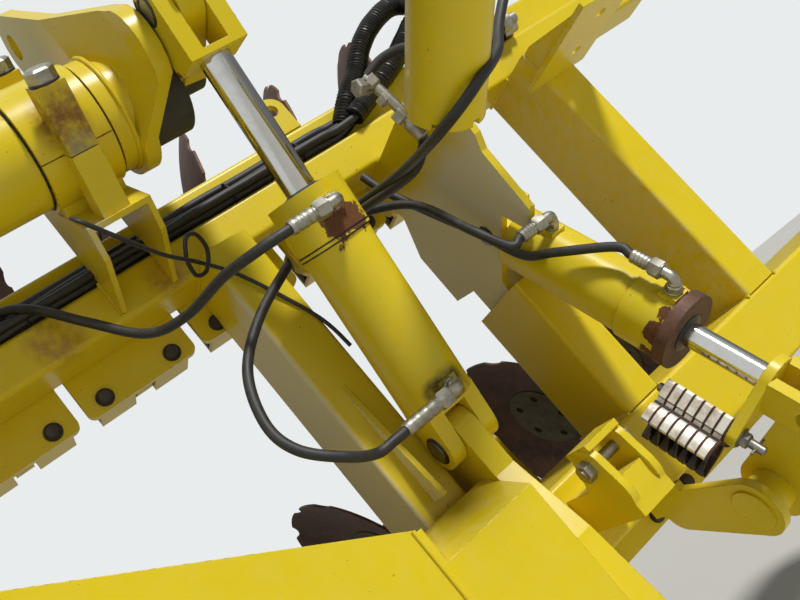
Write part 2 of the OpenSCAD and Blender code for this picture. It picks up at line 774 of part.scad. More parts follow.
module lift_fittings() {
    color(steel) towards(lift_x, lift_base, lift_eye) mirror([0, 1, 0]) {
        elbow_back(lift_ports[0][0], lift_ports[0][1] / 2, lift_ports[0][2]);
        elbow(lift_ports[1][0], lift_ports[1][1] / 2, lift_ports[1][2]);
    }
}

// Rod with its stop plate, and the fork that takes the rocker's pin
module lift_rod() {
    half = 22;
    t = 24;
    plate_z = lift_len - 100;
    color(steel) towards(lift_x, lift_base, lift_eye) translate([0, 0, lift_body_l - 90])
        cylinder(h = plate_z - lift_body_l + 92, d = lift_rod_d);
    color(paint) towards(lift_x, lift_base, lift_eye) difference() {
        union() {
            translate([0, 0, plate_z]) linear_extrude(20) link([0, 0], 52, stop_bar, 24);
            for (s = [half, -half - t]) yz(s, t) {
                translate([0, lift_len]) circle(38);
                translate([-38, plate_z + 19]) square([76, lift_len - plate_z - 19]);
            }
        }
        for (s = [half, -half - t]) rod_x(s - 1, s + t + 1, [0, lift_len], lift_pin_d + 2 * run_gap);
    }
}

// C-shaped stroke stops, threaded on a bar beside the rod
module stop_segments() {
    plate_z = lift_len - 100;
    count = 7;
    t = 20;
    away = stop_bar / norm(stop_bar);
    color(steel) towards(lift_x, lift_base, lift_eye)
        translate([stop_bar[0], stop_bar[1], plate_z - count * t - 12]) cylinder(h = count * t + 12 - face_gap, d = 18);
    color(dark) towards(lift_x, lift_base, lift_eye)
        for (i = [1 : count]) translate([0, 0, plate_z - i * t]) linear_extrude(t - 4) difference() {
            union() {
                translate(stop_bar) circle(22);
                translate(stop_bar + 50 * away) circle(40);
            }
            translate(stop_bar) circle(9 + run_gap);
            translate(stop_bar + 58 * away) circle(26);
            translate(stop_bar + 58 * away) rotate(atan2(away[1], away[0])) translate([0, -24]) square([60, 48]);
        }
}

// Ring of a swept tube, sides x points, in the plane across the way t
function ring(p, t, r, n) = let (u = cross(t, abs(t[2]) > 0.9 ? [1, 0, 0] : [0, 0, 1]), a = u / norm(u), b = cross(a, t))
    [for (k = [0 : n - 1]) p + r * (cos(k * 360 / n) * a + sin(k * 360 / n) * b)];

// Points of a smooth curve through the route's own points, two to a stretch
function smooth(p) = [for (i = [0 : len(p) - 2]) for (t = [0, 0.5])
    let (a = p[max(i - 1, 0)], b = p[i], c = p[i + 1], d = p[min(i + 2, len(p) - 1)])
    0.5 * (2 * b + (c - a) * t + (2 * a - 5 * b + 4 * c - d) * t * t + (3 * b - a - 3 * c + d) * t * t * t)];

// Hose of diameter d along a route
module hose(route, d) {
    n = 8;
    path = concat(smooth(route), [route[len(route) - 1]]);
    m = len(path);
    points = [for (i = [0 : m - 1]) let (t = path[min(i + 1, m - 1)] - path[max(i - 1, 0)])
        each ring(path[i], t / norm(t), d / 2, n)];
    walls = [for (i = [0 : m - 2]) for (k = [0 : n - 1]) let (j = (k + 1) % n)
        [i * n + k, i * n + j, (i + 1) * n + j, (i + 1) * n + k]];
    polyhedron(points, concat(walls, [[for (k = [n - 1 : -1 : 0]) k]], [[for (k = [0 : n - 1]) (m - 1) * n + k]]));
}

hose_d = 20;
// Routes of the hoses, from the bundle to the cylinders' sleeves
gland_route = [[535, 222, -160], [590, 195, -163], [640, 168, -205], [700, 130, -300], [765, 80, -400],
    [830, 10, -435], [890, -110, -450], [935, -195, -472], [975, -215, -477], [1008, -215, -477]];
base_route = [[1050, 20, -460], [925, -30, -525], [830, -75, -605], [790, -100, -700], [800, -115, -770],
    [855, -120, -830], [910, -92, -858], [950, -90, -860], [983, -90, -860]];

// Point beside the lift cylinder: its plane, height from the base pin, distance out from the barrel's axis
function by_lift(x, z, out) = [x, lift_base[0] + z * lift_way[0] + out * lift_out[0],
    lift_base[1] + z * lift_way[1] + out * lift_out[1]];
lift_base_route = [[1240, 110, -425], [1310, 105, -432], [1375, 40, -500], [1374, -60, -635],
    by_lift(lift_x - 126, lift_ports[1][0], 109), by_lift(lift_x - 100, lift_ports[1][0], 111),
    by_lift(lift_x - 91, lift_ports[1][0], 111)];
lift_gland_route = [[1385, 150, -345], [1390, 120, -420], [1410, 60, -540], [1430, 10, -640],
    by_lift(lift_x - 72, 130, 40), by_lift(lift_x - 58, 200, 80), by_lift(lift_x - 2, 300, 116),
    by_lift(lift_x, lift_ports[0][0] - 100, 116), by_lift(lift_x, lift_ports[0][0] - 91, 116)];
third_route = [[1592, -330, -357], [1521, -300, -423], [1472, -270, -448], [1406, -240, -466],
    [1319, 10, -433], [1290, 120, -400], [1275, 230, -330], [1270, 280, -329]];

module hose_bundle() {
    color(black) hose(third_route, hose_d);
    color(black) for (i = [0 : 3]) translate([0, rear_y - 10.5 - 20.3 * (i % 2), beam_top + 10.3 + 18 * floor(i / 2)])
        rod_x(180, 1500 + 60 * i, [0, 0], hose_d, 12);
}

module hoses_tilt() {
    color(black) {
        hose(gland_route, hose_d);
        hose(base_route, hose_d);
    }
}

module hoses_lift() {
    color(black) {
        hose(lift_base_route, hose_d);
        hose(lift_gland_route, hose_d);
    }
}

torque_tube();
tilt_arm();
tilt_pin_core();
clamp_saddles();
clamp_caps();
clamp_bolts();
beam_front();
beam_rear();
beam_lower();
post_flange_side();
post_inner();
post_middle();
post_outer();
boot();
brace();
lift_bracket();
rocker_bracket();
link_bracket();
wing_cylinder();
mounts(rows[0]);  // mounts_upper
mounts(rows[1]);  // mounts_lower
cords(rows[0]);  // cords_upper
cords(rows[1]);  // cords_lower
arms(rows[0]);  // arms_upper
arms(rows[1]);  // arms_lower
tilt_barrel();
tilt_fittings();
tilt_rod();
lift_barrel();
lift_fittings();
lift_rod();
stop_segments();
rocker();
hose_bundle();
hoses_tilt();
hoses_lift();
for (row = rows) for (i = [1 : 6])
    disc_unit(row, i);
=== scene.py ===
import json
import math
import random

import bmesh
import bpy
from mathutils import Matrix, Vector


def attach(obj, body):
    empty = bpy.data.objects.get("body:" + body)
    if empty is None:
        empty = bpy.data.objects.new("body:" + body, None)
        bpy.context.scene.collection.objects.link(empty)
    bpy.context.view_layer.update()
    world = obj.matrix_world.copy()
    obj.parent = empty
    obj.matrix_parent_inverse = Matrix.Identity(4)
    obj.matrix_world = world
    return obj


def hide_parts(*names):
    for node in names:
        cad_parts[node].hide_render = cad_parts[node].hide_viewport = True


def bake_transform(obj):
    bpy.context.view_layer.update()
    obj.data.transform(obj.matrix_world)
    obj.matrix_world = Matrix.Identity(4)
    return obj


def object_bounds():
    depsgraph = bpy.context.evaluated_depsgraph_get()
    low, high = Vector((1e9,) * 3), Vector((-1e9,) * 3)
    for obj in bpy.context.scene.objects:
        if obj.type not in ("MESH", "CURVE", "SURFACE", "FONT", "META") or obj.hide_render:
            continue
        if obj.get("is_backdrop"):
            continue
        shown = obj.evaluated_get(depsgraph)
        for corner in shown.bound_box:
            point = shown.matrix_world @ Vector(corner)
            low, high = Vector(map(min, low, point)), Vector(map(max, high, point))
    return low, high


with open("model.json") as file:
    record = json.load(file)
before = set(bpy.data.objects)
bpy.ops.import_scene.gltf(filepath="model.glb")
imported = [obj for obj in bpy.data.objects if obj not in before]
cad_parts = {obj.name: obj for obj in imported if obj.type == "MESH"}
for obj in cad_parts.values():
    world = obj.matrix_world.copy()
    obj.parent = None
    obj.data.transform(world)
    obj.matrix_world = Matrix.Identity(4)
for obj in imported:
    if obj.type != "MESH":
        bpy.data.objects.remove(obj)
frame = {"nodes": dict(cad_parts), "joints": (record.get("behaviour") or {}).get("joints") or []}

cadLow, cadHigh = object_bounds()
nodes = frame["nodes"]
mm = 0.001


# helpers shared by every piece

def linear(hexCode):
    # sRGB hex to the linear values that shader sockets take
    parts = [int(hexCode[i:i + 2], 16) / 255 for i in (1, 3, 5)]
    return [c / 12.92 if c <= 0.04045 else ((c + 0.055) / 1.055) ** 2.4 for c in parts] + [1]


def perMetre(millimetres):
    # texture scale at which one feature is about this long
    return 1000 / millimetres


def addNode(tree, kind, settings=None, links=None):
    # a shader node with its settings and links, sockets by name or by number
    node = tree.nodes.new("ShaderNode" + kind)
    for key, value in (settings or {}).items():
        if isinstance(key, int) or key in node.inputs:
            node.inputs[key].default_value = value
        else:
            setattr(node, key, value)
    for key, source in (links or {}).items():
        tree.links.new(source, node.inputs[key])
    return node


def newMaterial(name, patterns):
    # an empty node material with its noise patterns, each by the millimetres across one feature,
    # its detail and its roughness
    material = bpy.data.materials.new(name)
    material.use_nodes = True
    tree = material.node_tree
    tree.nodes.clear()
    spot = addNode(tree, "TexCoord").outputs["Object"]
    noise = {}
    for key, (size, detail, roughness) in patterns.items():
        settings = {"Scale": perMetre(size), "Detail": detail, "Roughness": roughness}
        noise[key] = addNode(tree, "TexNoise", settings, {"Vector": spot}).outputs["Fac"]
    return material, tree, noise


def frameAlong(start, way, across=(1, 0, 0)):
    # a frame at start whose Z axis runs along way
    z = Vector(way).normalized()
    x = Vector(across) - z * z.dot(Vector(across))
    if x.length < 1e-4:
        x = Vector((0, 1, 0)) - z * z.y
    x.normalize()
    y = z.cross(x)
    return Matrix.Translation(Vector(start)) @ Matrix((x, y, z)).transposed().to_4x4()


def jointNamed(name):
    return next(joint for joint in frame["joints"] if joint["name"] == name)


tiltBase = Vector(jointNamed("tilt_barrel_swing")["pos_m"])
tiltWay = Vector(jointNamed("tilt_rod_slide")["axis"]).normalized()
liftBase = Vector(jointNamed("lift_barrel_swing")["pos_m"])
liftWay = Vector(jointNamed("lift_rod_slide")["axis"]).normalized()
tiltFrame = frameAlong(tiltBase, tiltWay)
liftFrame = frameAlong(liftBase, liftWay)


def byTilt(x, y, z):
    return tiltFrame @ Vector((x * mm, y * mm, z * mm))


def byLift(x, y, z):
    return liftFrame @ Vector((x * mm, y * mm, z * mm))


# camera

cameraSpot = {
    "place": (0.450, -1.500, -0.905),
    "right": (0.7249, -0.2433, -0.6444),
    "up": (0.5365, -0.3872, 0.7498),
    "forward": (0.4320, 0.8893, 0.1501),
    "lens": 38.25,
    "sensor": 36,
}


def makeCamera(spot):
    data = bpy.data.cameras.new("photoCamera")
    data.lens = spot["lens"]
    data.sensor_width = spot["sensor"]
    data.clip_start = 0.02
    data.clip_end = 200
    camera = bpy.data.objects.new("photoCamera", data)
    bpy.context.scene.collection.objects.link(camera)
    axes = [Vector(spot[key]).normalized() for key in ("right", "up", "forward")]
    turn = Matrix((axes[0], axes[1], -axes[2])).transposed()
    camera.matrix_world = Matrix.Translation(spot["place"]) @ turn.to_4x4()
    bpy.context.scene.camera = camera


makeCamera(cameraSpot)
print("camera is set")


# light and floor

studio = {
    "sunStrength": 2.9,                 # key light, soft edged
    "sunFrom": (0.34, -0.66, 0.67),
    "sunSpread": 8,                     # degrees
    "sunColour": (1.0, 0.99, 0.965),
    "skyColour": "#DDE6F0",             # fill on the object
    "skyLevel": 0.17,
    "backdrop": "#E9ECEC",
    "windowFrom": (-0.5, -0.35, 0.8),   # pale side of the room, as metal shows it
    "windowEdge": (-0.45, 0.75),        # where the pale side begins and is full
    "roomLevels": (0.22, 1.0),          # strength away from the window and towards it
    "floorColour": "#D9D6CE",
    "floorPale": "#E4E2DB",
    "floorPatterns": {"cloud": (900, 4, 0.5)},
    "floorCentre": (1.0, 0.2),          # metres
    "floorDrop": 0.30,                  # metres under the lowest disc
    "floorRadius": 14,
    "floorSides": 96,
    "floorRough": 0.8,
}


def makeStudio(cfg):
    world = bpy.data.worlds.new("studioWorld")
    bpy.context.scene.world = world
    world.use_nodes = True
    tree = world.node_tree
    tree.nodes.clear()
    path = addNode(tree, "LightPath")
    seen = addNode(tree, "Math", {"operation": "MAXIMUM"},
                   {0: path.outputs["Is Camera Ray"], 1: path.outputs["Is Transmission Ray"]})
    fill = addNode(tree, "Background", {"Color": linear(cfg["skyColour"]), "Strength": cfg["skyLevel"]})
    backdrop = addNode(tree, "Background", {"Color": linear(cfg["backdrop"]), "Strength": 1.0})
    # metal shows the same backdrop, pale towards the window and grey away from it
    ways = addNode(tree, "TexCoord")
    toWindow = addNode(tree, "VectorMath",
                       {"operation": "DOT_PRODUCT", 1: Vector(cfg["windowFrom"]).normalized()},
                       {0: ways.outputs["Generated"]})
    falloff = addNode(tree, "MapRange",
                      {"From Min": cfg["windowEdge"][0], "From Max": cfg["windowEdge"][1],
                       "To Min": cfg["roomLevels"][0], "To Max": cfg["roomLevels"][1],
                       "interpolation_type": "SMOOTHSTEP"}, {"Value": toWindow.outputs["Value"]})
    room = addNode(tree, "Background", {"Color": linear(cfg["backdrop"])}, {"Strength": falloff.outputs[0]})
    glossy = addNode(tree, "MixShader", {},
                     {0: path.outputs["Is Glossy Ray"], 1: fill.outputs[0], 2: room.outputs[0]})
    mix = addNode(tree, "MixShader", {}, {0: seen.outputs[0], 1: glossy.outputs[0], 2: backdrop.outputs[0]})
    addNode(tree, "OutputWorld", {}, {"Surface": mix.outputs[0]})

    data = bpy.data.lights.new("keySun", "SUN")
    data.energy = cfg["sunStrength"]
    data.angle = math.radians(cfg["sunSpread"])
    data.color = cfg["sunColour"]
    sun = bpy.data.objects.new("keySun", data)
    sun.rotation_mode = "QUATERNION"
    sun.rotation_quaternion = Vector(cfg["sunFrom"]).to_track_quat("Z", "Y")
    bpy.context.scene.collection.objects.link(sun)

    mesh = bpy.data.meshes.new("floorDisc")
    bm = bmesh.new()
    bmesh.ops.create_circle(bm, cap_ends=True, segments=cfg["floorSides"], radius=cfg["floorRadius"])
    bm.to_mesh(mesh)
    bm.free()
    floor = bpy.data.objects.new("floorDisc", mesh)
    floor.location = (*cfg["floorCentre"], cadLow.z - cfg["floorDrop"])
    bpy.context.scene.collection.objects.link(floor)
    # sealed concrete: smooth, pale and nearly even
    material, tree, noise = newMaterial("sealedConcrete", cfg["floorPatterns"])
    tone = addNode(tree, "Mix",
                   {"data_type": "RGBA", 6: linear(cfg["floorColour"]), 7: linear(cfg["floorPale"])},
                   {0: noise["cloud"]})
    shader = addNode(tree, "BsdfPrincipled", {"Roughness": cfg["floorRough"]},
                     {"Base Color": tone.outputs[2]})
    addNode(tree, "OutputMaterial", {}, {"Surface": shader.outputs[0]})
    mesh.materials.append(material)
    floor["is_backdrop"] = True

    bpy.context.scene.view_settings.view_transform = "Standard"


makeStudio(studio)
print("light and floor are set")


# materials

paintFinish = {
    "fresh": "#E8CE06",
    "faded": "#DBC31A",
    "rust": "#4A2C1A",
    "rustPale": "#7D5230",
    # pale film colour: dust, and on the chalked plates also painted sky reflection
    "dust": "#E0DCC8",
    # fading is a hand's width across, and the orange peel is coarser than a real one, so that it shows
    "patterns": {"fade": (160, 5, 0.55), "streak": (24, 7, 0.65), "film": (38, 8, 0.7),
                 "chip": (11, 6, 0.7), "grain": (5, 4, 0.5), "peel": (3, 2, 0.5)},
    "edgeRound": 2.5,       # millimetres
    "coat": 0.4,            # millimetres, drawn thicker than the real coat
    "clean": 0.30,          # roughness
    "dusty": 0.78,
    "chipped": 0.85,
    "shine": {"IOR": 1.45, "Specular IOR Level": 0.4},
    "edge": {"From Min": 0.985, "From Max": 0.90},      # from a flat face to a sharp edge
    "stainCore": 0.55,                                  # share of a stain's radius that is soaked through
    "stainClouds": {"From Min": 0.36, "From Max": 0.60, "To Min": 0.25, "To Max": 0.9},
    "dustFacing": {"From Min": 0.2, "From Max": 0.9, "To Min": 0.04},
    "dustPatches": (0.38, 0.68),
    "chalkAndSheenCloses": 0.26,                                # the chalky coat, with its painted sky reflection, is nearly closed
    "chalkAndSheenWave": {1: 0.22, 2: -0.11},                   # metres
    "bites": (0.60, 0.64), "biteWear": 0.05,
    "specks": (0.72, 0.735), "speckWear": 0.03,
    "tornReach": {"To Min": -0.16, "To Max": 0.30},
    "tornEdge": {"From Min": 0.50, "From Max": 0.53},
    "peelStrength": 0.06,
    "pitStrength": 0.5,
}


def enamelPaint(name, dustAndSheenSide=(0, 0, 1), dustReach=0.16, wear=1.0, torn=(), stains=(),
                chalkAndSheenBelow=None):
    # sprayed alkyd enamel over hot rolled steel: a warm gloss yellow that chips brown at its edges
    cfg = paintFinish
    material, tree, noise = newMaterial(name, cfg["patterns"])
    spot = addNode(tree, "TexCoord").outputs["Object"]
    geometry = addNode(tree, "NewGeometry")
    rounded = addNode(tree, "Bevel", {"samples": 4, "Radius": cfg["edgeRound"] * mm})
    flat = addNode(tree, "VectorMath", {"operation": "DOT_PRODUCT"},
                   {0: rounded.outputs[0], 1: geometry.outputs["Normal"]})
    edge = addNode(tree, "MapRange", cfg["edge"], {"Value": flat.outputs["Value"]})
    tone = addNode(tree, "Mix", {"data_type": "RGBA", 6: linear(cfg["fresh"]), 7: linear(cfg["faded"])},
                   {0: noise["fade"]})
    # stains that soak through the coat, each round its own place
    for place, radius, stainColour in stains:
        away = addNode(tree, "VectorMath", {"operation": "DISTANCE", 1: [c * mm for c in place]}, {0: spot})
        inside = addNode(tree, "MapRange",
                         {"From Min": radius * mm, "From Max": radius * cfg["stainCore"] * mm},
                         {"Value": away.outputs["Value"]})
        cloudy = addNode(tree, "MapRange", cfg["stainClouds"], {"Value": noise["streak"]})
        soaked = addNode(tree, "Math", {"operation": "MULTIPLY"},
                         {0: inside.outputs[0], 1: cloudy.outputs[0]})
        tone = addNode(tree, "Mix", {"data_type": "RGBA", 7: linear(stainColour)},
                       {0: soaked.outputs[0], 6: tone.outputs[2]})
    # dust film, thicker on what faces the dusty side; on the chalked plates the pale film on faces turned to
    # -X is also painted sky reflection
    facing = addNode(tree, "VectorMath", {"operation": "DOT_PRODUCT", 1: Vector(dustAndSheenSide).normalized()},
                     {0: geometry.outputs["Normal"]})
    lies = addNode(tree, "MapRange", {**cfg["dustFacing"], "To Max": dustReach},
                   {"Value": facing.outputs["Value"]})
    closes = cfg["chalkAndSheenCloses"] if chalkAndSheenBelow else 0.0
    low, high = (level - closes for level in cfg["dustPatches"])
    patch = addNode(tree, "MapRange", {"From Min": low, "From Max": high}, {"Value": noise["film"]})
    dusty = addNode(tree, "Math", {"operation": "MULTIPLY"}, {0: lies.outputs[0], 1: patch.outputs[0]})
    if chalkAndSheenBelow:
        # the chalky coat, with its painted sky reflection, fades out upward between two heights, along a wavy
        # line
        height = addNode(tree, "SeparateXYZ", {}, {0: spot})
        wavy = addNode(tree, "Math", {"operation": "MULTIPLY_ADD", **cfg["chalkAndSheenWave"]}, {0: noise["fade"]})
        level = addNode(tree, "Math", {"operation": "ADD"}, {0: height.outputs["Z"], 1: wavy.outputs[0]})
        faded = addNode(tree, "MapRange", {"From Min": chalkAndSheenBelow[0] * mm, "From Max": chalkAndSheenBelow[1] * mm,
                                           "To Min": 1.0, "To Max": 0.0}, {"Value": level.outputs[0]})
        dusty = addNode(tree, "Math", {"operation": "MULTIPLY"}, {0: dusty.outputs[0], 1: faded.outputs[0]})
    dustAndSheenTone = addNode(tree, "Mix", {"data_type": "RGBA", 7: linear(cfg["dust"])},
                     {0: dusty.outputs[0], 6: tone.outputs[2]})
    # chips: ragged along edges, rare specks elsewhere
    low, high = (level - cfg["biteWear"] * wear for level in cfg["bites"])
    bite = addNode(tree, "MapRange", {"From Min": low, "From Max": high}, {"Value": noise["chip"]})
    edgeChip = addNode(tree, "Math", {"operation": "MULTIPLY"}, {0: bite.outputs[0], 1: edge.outputs[0]})
    low, high = (level - cfg["speckWear"] * wear for level in cfg["specks"])
    speck = addNode(tree, "MapRange", {"From Min": low, "From Max": high}, {"Value": noise["chip"]})
    chips = addNode(tree, "Math", {"operation": "MAXIMUM", "use_clamp": True},
                    {0: edgeChip.outputs[0], 1: speck.outputs[0]})
    # patches where the coat is torn off: a ragged blot round each place, millimetres across
    for place, radius in torn:
        away = addNode(tree, "VectorMath", {"operation": "DISTANCE", 1: [c * mm for c in place]}, {0: spot})
        inside = addNode(tree, "MapRange", {"From Min": radius * mm, "From Max": 0.0, **cfg["tornReach"]},
                         {"Value": away.outputs["Value"]})
        frayed = addNode(tree, "Math", {"operation": "ADD"}, {0: inside.outputs[0], 1: noise["film"]})
        blot = addNode(tree, "MapRange", cfg["tornEdge"], {"Value": frayed.outputs[0]})
        near = addNode(tree, "Math", {"operation": "LESS_THAN", 1: radius * mm}, {0: away.outputs["Value"]})
        shown = addNode(tree, "Math", {"operation": "MULTIPLY"}, {0: blot.outputs[0], 1: near.outputs[0]})
        chips = addNode(tree, "Math", {"operation": "MAXIMUM"}, {0: chips.outputs[0], 1: shown.outputs[0]})
    bare = addNode(tree, "Mix", {"data_type": "RGBA", 6: linear(cfg["rust"]), 7: linear(cfg["rustPale"])},
                   {0: noise["grain"]})
    colour = addNode(tree, "Mix", {"data_type": "RGBA"},
                     {0: chips.outputs[0], 6: dustAndSheenTone.outputs[2], 7: bare.outputs[2]})
    gloss = addNode(tree, "Mix", {2: cfg["clean"], 3: cfg["dusty"]}, {0: dusty.outputs[0]})
    rough = addNode(tree, "Mix", {3: cfg["chipped"]}, {0: chips.outputs[0], 2: gloss.outputs[0]})
    # orange peel of the sprayed coat, with the chips sunk below it
    skin = addNode(tree, "Bump", {"Strength": cfg["peelStrength"], "Distance": cfg["coat"] * mm},
                   {"Height": noise["peel"], "Normal": rounded.outputs[0]})
    pit = addNode(tree, "Bump",
                  {"Strength": cfg["pitStrength"], "Distance": cfg["coat"] * mm, "invert": True},
                  {"Height": chips.outputs[0], "Normal": skin.outputs[0]})
    shader = addNode(tree, "BsdfPrincipled", cfg["shine"],
                     {"Base Color": colour.outputs[2], "Roughness": rough.outputs[0],
                      "Normal": pit.outputs[0]})
    addNode(tree, "OutputMaterial", {}, {"Surface": shader.outputs[0]})
    return material


steelLook = {
    # the grain is coarser than real machining marks, so that it shows
    "patterns": {"dirt": (30, 8, 0.7), "grain": (6, 6, 0.5)},
    "edgeRound": 1.0,
    "grainDepth": 0.2, "grainStrength": 0.25,
    "dirtSpan": {"From Min": 0.42, "From Max": 0.66},
    "dirty": 0.8,                   # roughness
    "glossSpread": (-0.08, 0.12),
}


def steelFinish(name, base, dirt, rough, dirtReach=0.5, metallic=1.0):
    # a steel surface: bright where handled, dull where grease and dust sit
    cfg = steelLook
    material, tree, noise = newMaterial(name, cfg["patterns"])
    rounded = addNode(tree, "Bevel", {"samples": 4, "Radius": cfg["edgeRound"] * mm})
    patch = addNode(tree, "MapRange", {**cfg["dirtSpan"], "To Max": dirtReach}, {"Value": noise["dirt"]})
    tone = addNode(tree, "Mix", {"data_type": "RGBA", 6: linear(base), 7: linear(dirt)},
                   {0: patch.outputs[0]})
    low, high = (rough + more for more in cfg["glossSpread"])
    gloss = addNode(tree, "MapRange", {"To Min": low, "To Max": high}, {"Value": noise["grain"]})
    worn = addNode(tree, "Mix", {3: cfg["dirty"]}, {0: patch.outputs[0], 2: gloss.outputs[0]})
    skin = addNode(tree, "Bump", {"Strength": cfg["grainStrength"], "Distance": cfg["grainDepth"] * mm},
                   {"Height": noise["grain"], "Normal": rounded.outputs[0]})
    shader = addNode(tree, "BsdfPrincipled", {"Metallic": metallic},
                     {"Base Color": tone.outputs[2], "Roughness": worn.outputs[0],
                      "Normal": skin.outputs[0]})
    addNode(tree, "OutputMaterial", {}, {"Surface": shader.outputs[0]})
    return material


chromeLook = {
    "bright": "#DCDDDE",
    "filmed": "#BDB9AE",
    "patterns": {"film": (30, 8, 0.75)},
    "filmSpan": {"From Min": 0.35, "From Max": 0.75},
    "polished": 0.06,       # roughness
    "dull": 0.22,
}


def chromedRod(name):
    # hard chrome over a ground bar: a mirror under a thin, uneven film of dust
    cfg = chromeLook
    material, tree, noise = newMaterial(name, cfg["patterns"])
    gloss = addNode(tree, "MapRange",
                    {**cfg["filmSpan"], "To Min": cfg["polished"], "To Max": cfg["dull"]},
                    {"Value": noise["film"]})
    tone = addNode(tree, "Mix", {"data_type": "RGBA", 6: linear(cfg["bright"]), 7: linear(cfg["filmed"])},
                   {0: noise["film"]})
    shader = addNode(tree, "BsdfPrincipled", {"Metallic": 1.0},
                     {"Base Color": tone.outputs[2], "Roughness": gloss.outputs[0]})
    addNode(tree, "OutputMaterial", {}, {"Surface": shader.outputs[0]})
    return material


rubberLook = {
    "dust": (22, 8, 0.7), "weave": (2, 0.5),
    "dustFacing": {"From Min": -0.2, "From Max": 0.9, "To Min": 0.1},
    "dustPatches": {"From Min": 0.35, "From Max": 0.7},
    "printDepth": 0.3, "printStrength": 0.35,
    "dusty": 0.9,           # roughness
    "shine": {"IOR": 1.52},
}


def rubberSkin(name, base, dust, dustReach, rough=0.5, weaveSize=2.2):
    # vulcanised rubber: near black, with the fine print of its wrap and a film of dust on top
    cfg = rubberLook
    material, tree, noise = newMaterial(
        name, {"dust": cfg["dust"], "weave": (weaveSize, *cfg["weave"])})
    geometry = addNode(tree, "NewGeometry")
    up = addNode(tree, "SeparateXYZ", {}, {0: geometry.outputs["Normal"]})
    lies = addNode(tree, "MapRange", {**cfg["dustFacing"], "To Max": dustReach}, {"Value": up.outputs["Z"]})
    patch = addNode(tree, "MapRange", cfg["dustPatches"], {"Value": noise["dust"]})
    film = addNode(tree, "Math", {"operation": "MULTIPLY"}, {0: lies.outputs[0], 1: patch.outputs[0]})
    tone = addNode(tree, "Mix", {"data_type": "RGBA", 6: linear(base), 7: linear(dust)},
                   {0: film.outputs[0]})
    skin = addNode(tree, "Bump", {"Strength": cfg["printStrength"], "Distance": cfg["printDepth"] * mm},
                   {"Height": noise["weave"]})
    gloss = addNode(tree, "MapRange", {"To Min": rough, "To Max": cfg["dusty"]}, {"Value": film.outputs[0]})
    shader = addNode(tree, "BsdfPrincipled", cfg["shine"],
                     {"Base Color": tone.outputs[2], "Roughness": gloss.outputs[0],
                      "Normal": skin.outputs[0]})
    addNode(tree, "OutputMaterial", {}, {"Surface": shader.outputs[0]})
    return material


discLook = {
    "scale": "#3A2820",
    "rust": "#6A4835",
    "bloom": "#86583A",
    "patterns": {"cloud": (70, 9, 0.65), "bloom": (7, 7, 0.7)},
    "pitDepth": 0.5,        # millimetres
    "pitStrength": 0.4,
    "rustSpan": {"From Min": 0.35, "From Max": 0.65},
    "bloomSpan": {"From Min": 0.50, "From Max": 0.72, "To Max": 0.75},
    "shine": {"Metallic": 0.25, "Roughness": 0.62},
}


def rolledDiscSteel(name):
    # hardened boron steel, rolled and left outdoors: clouds of brown rust and dark scale, with paler bloom
    cfg = discLook
    material, tree, noise = newMaterial(name, cfg["patterns"])
    spread = addNode(tree, "MapRange", cfg["rustSpan"], {"Value": noise["cloud"]})
    tone = addNode(tree, "Mix", {"data_type": "RGBA", 6: linear(cfg["scale"]), 7: linear(cfg["rust"])},
                   {0: spread.outputs[0]})
    bloom = addNode(tree, "MapRange", cfg["bloomSpan"], {"Value": noise["bloom"]})
    rusty = addNode(tree, "Mix", {"data_type": "RGBA", 7: linear(cfg["bloom"])},
                    {0: bloom.outputs[0], 6: tone.outputs[2]})
    skin = addNode(tree, "Bump", {"Strength": cfg["pitStrength"], "Distance": cfg["pitDepth"] * mm},
                   {"Height": noise["bloom"]})
    shader = addNode(tree, "BsdfPrincipled", cfg["shine"],
                     {"Base Color": rusty.outputs[2], "Normal": skin.outputs[0]})
    addNode(tree, "OutputMaterial", {}, {"Surface": shader.outputs[0]})
    return material


# places, in millimetres, where the coat is torn off or stained, with the size of each blot
marks = {
    "pin": [((1054, -216, 27), 30), ((1054, -192, 34), 22), ((1054, -181, 20), 20),
            ((1054, -172, -22), 26), ((1054, -186, -34), 20), ((1054, -164, -52), 28),
            ((1054, -152, -69), 22), ((1060, -170, -96), 20)],
    "gland": [((1117, -168, -492), 66), ((1146, -163, -500), 52), ((1100, -165, -512), 34)],
    "base": [((1128, -50, -850), 48, "#241D14"), ((1090, -46, -838), 30, "#3A2E1B")],
    "cap": [((842, -150, -20), 62, "#8A5316"), ((842, -140, -66), 66, "#7E4A14"),
            ((842, -118, -104), 34, "#9C8F6A")],
    "saddle": [((760, -40, -230), 75, "#CFCBBB")],
    "frame": [((1030, 104, -900), 60, "#CFCBB0"), ((640, 205, -265), 70, "#B48A2A"),
              ((900, 205, -270), 60, "#B48A2A")],
}

# blots all round the lift cylinder's gland ring, where its edge flakes
ringEdge = {"radius": 75, "height": 449, "sway": 5, "blot": 30, "vary": 9, "apart": 40}
ringBlots = []
for turn in range(0, 360, ringEdge["apart"]):
    a = math.radians(turn)
    place = byLift(ringEdge["radius"] * math.cos(a), ringEdge["radius"] * math.sin(a),
                   ringEdge["height"] + ringEdge["sway"] * math.sin(3 * a))
    ringBlots.append((tuple(place / mm), ringEdge["blot"] + ringEdge["vary"] * math.cos(2 * a)))

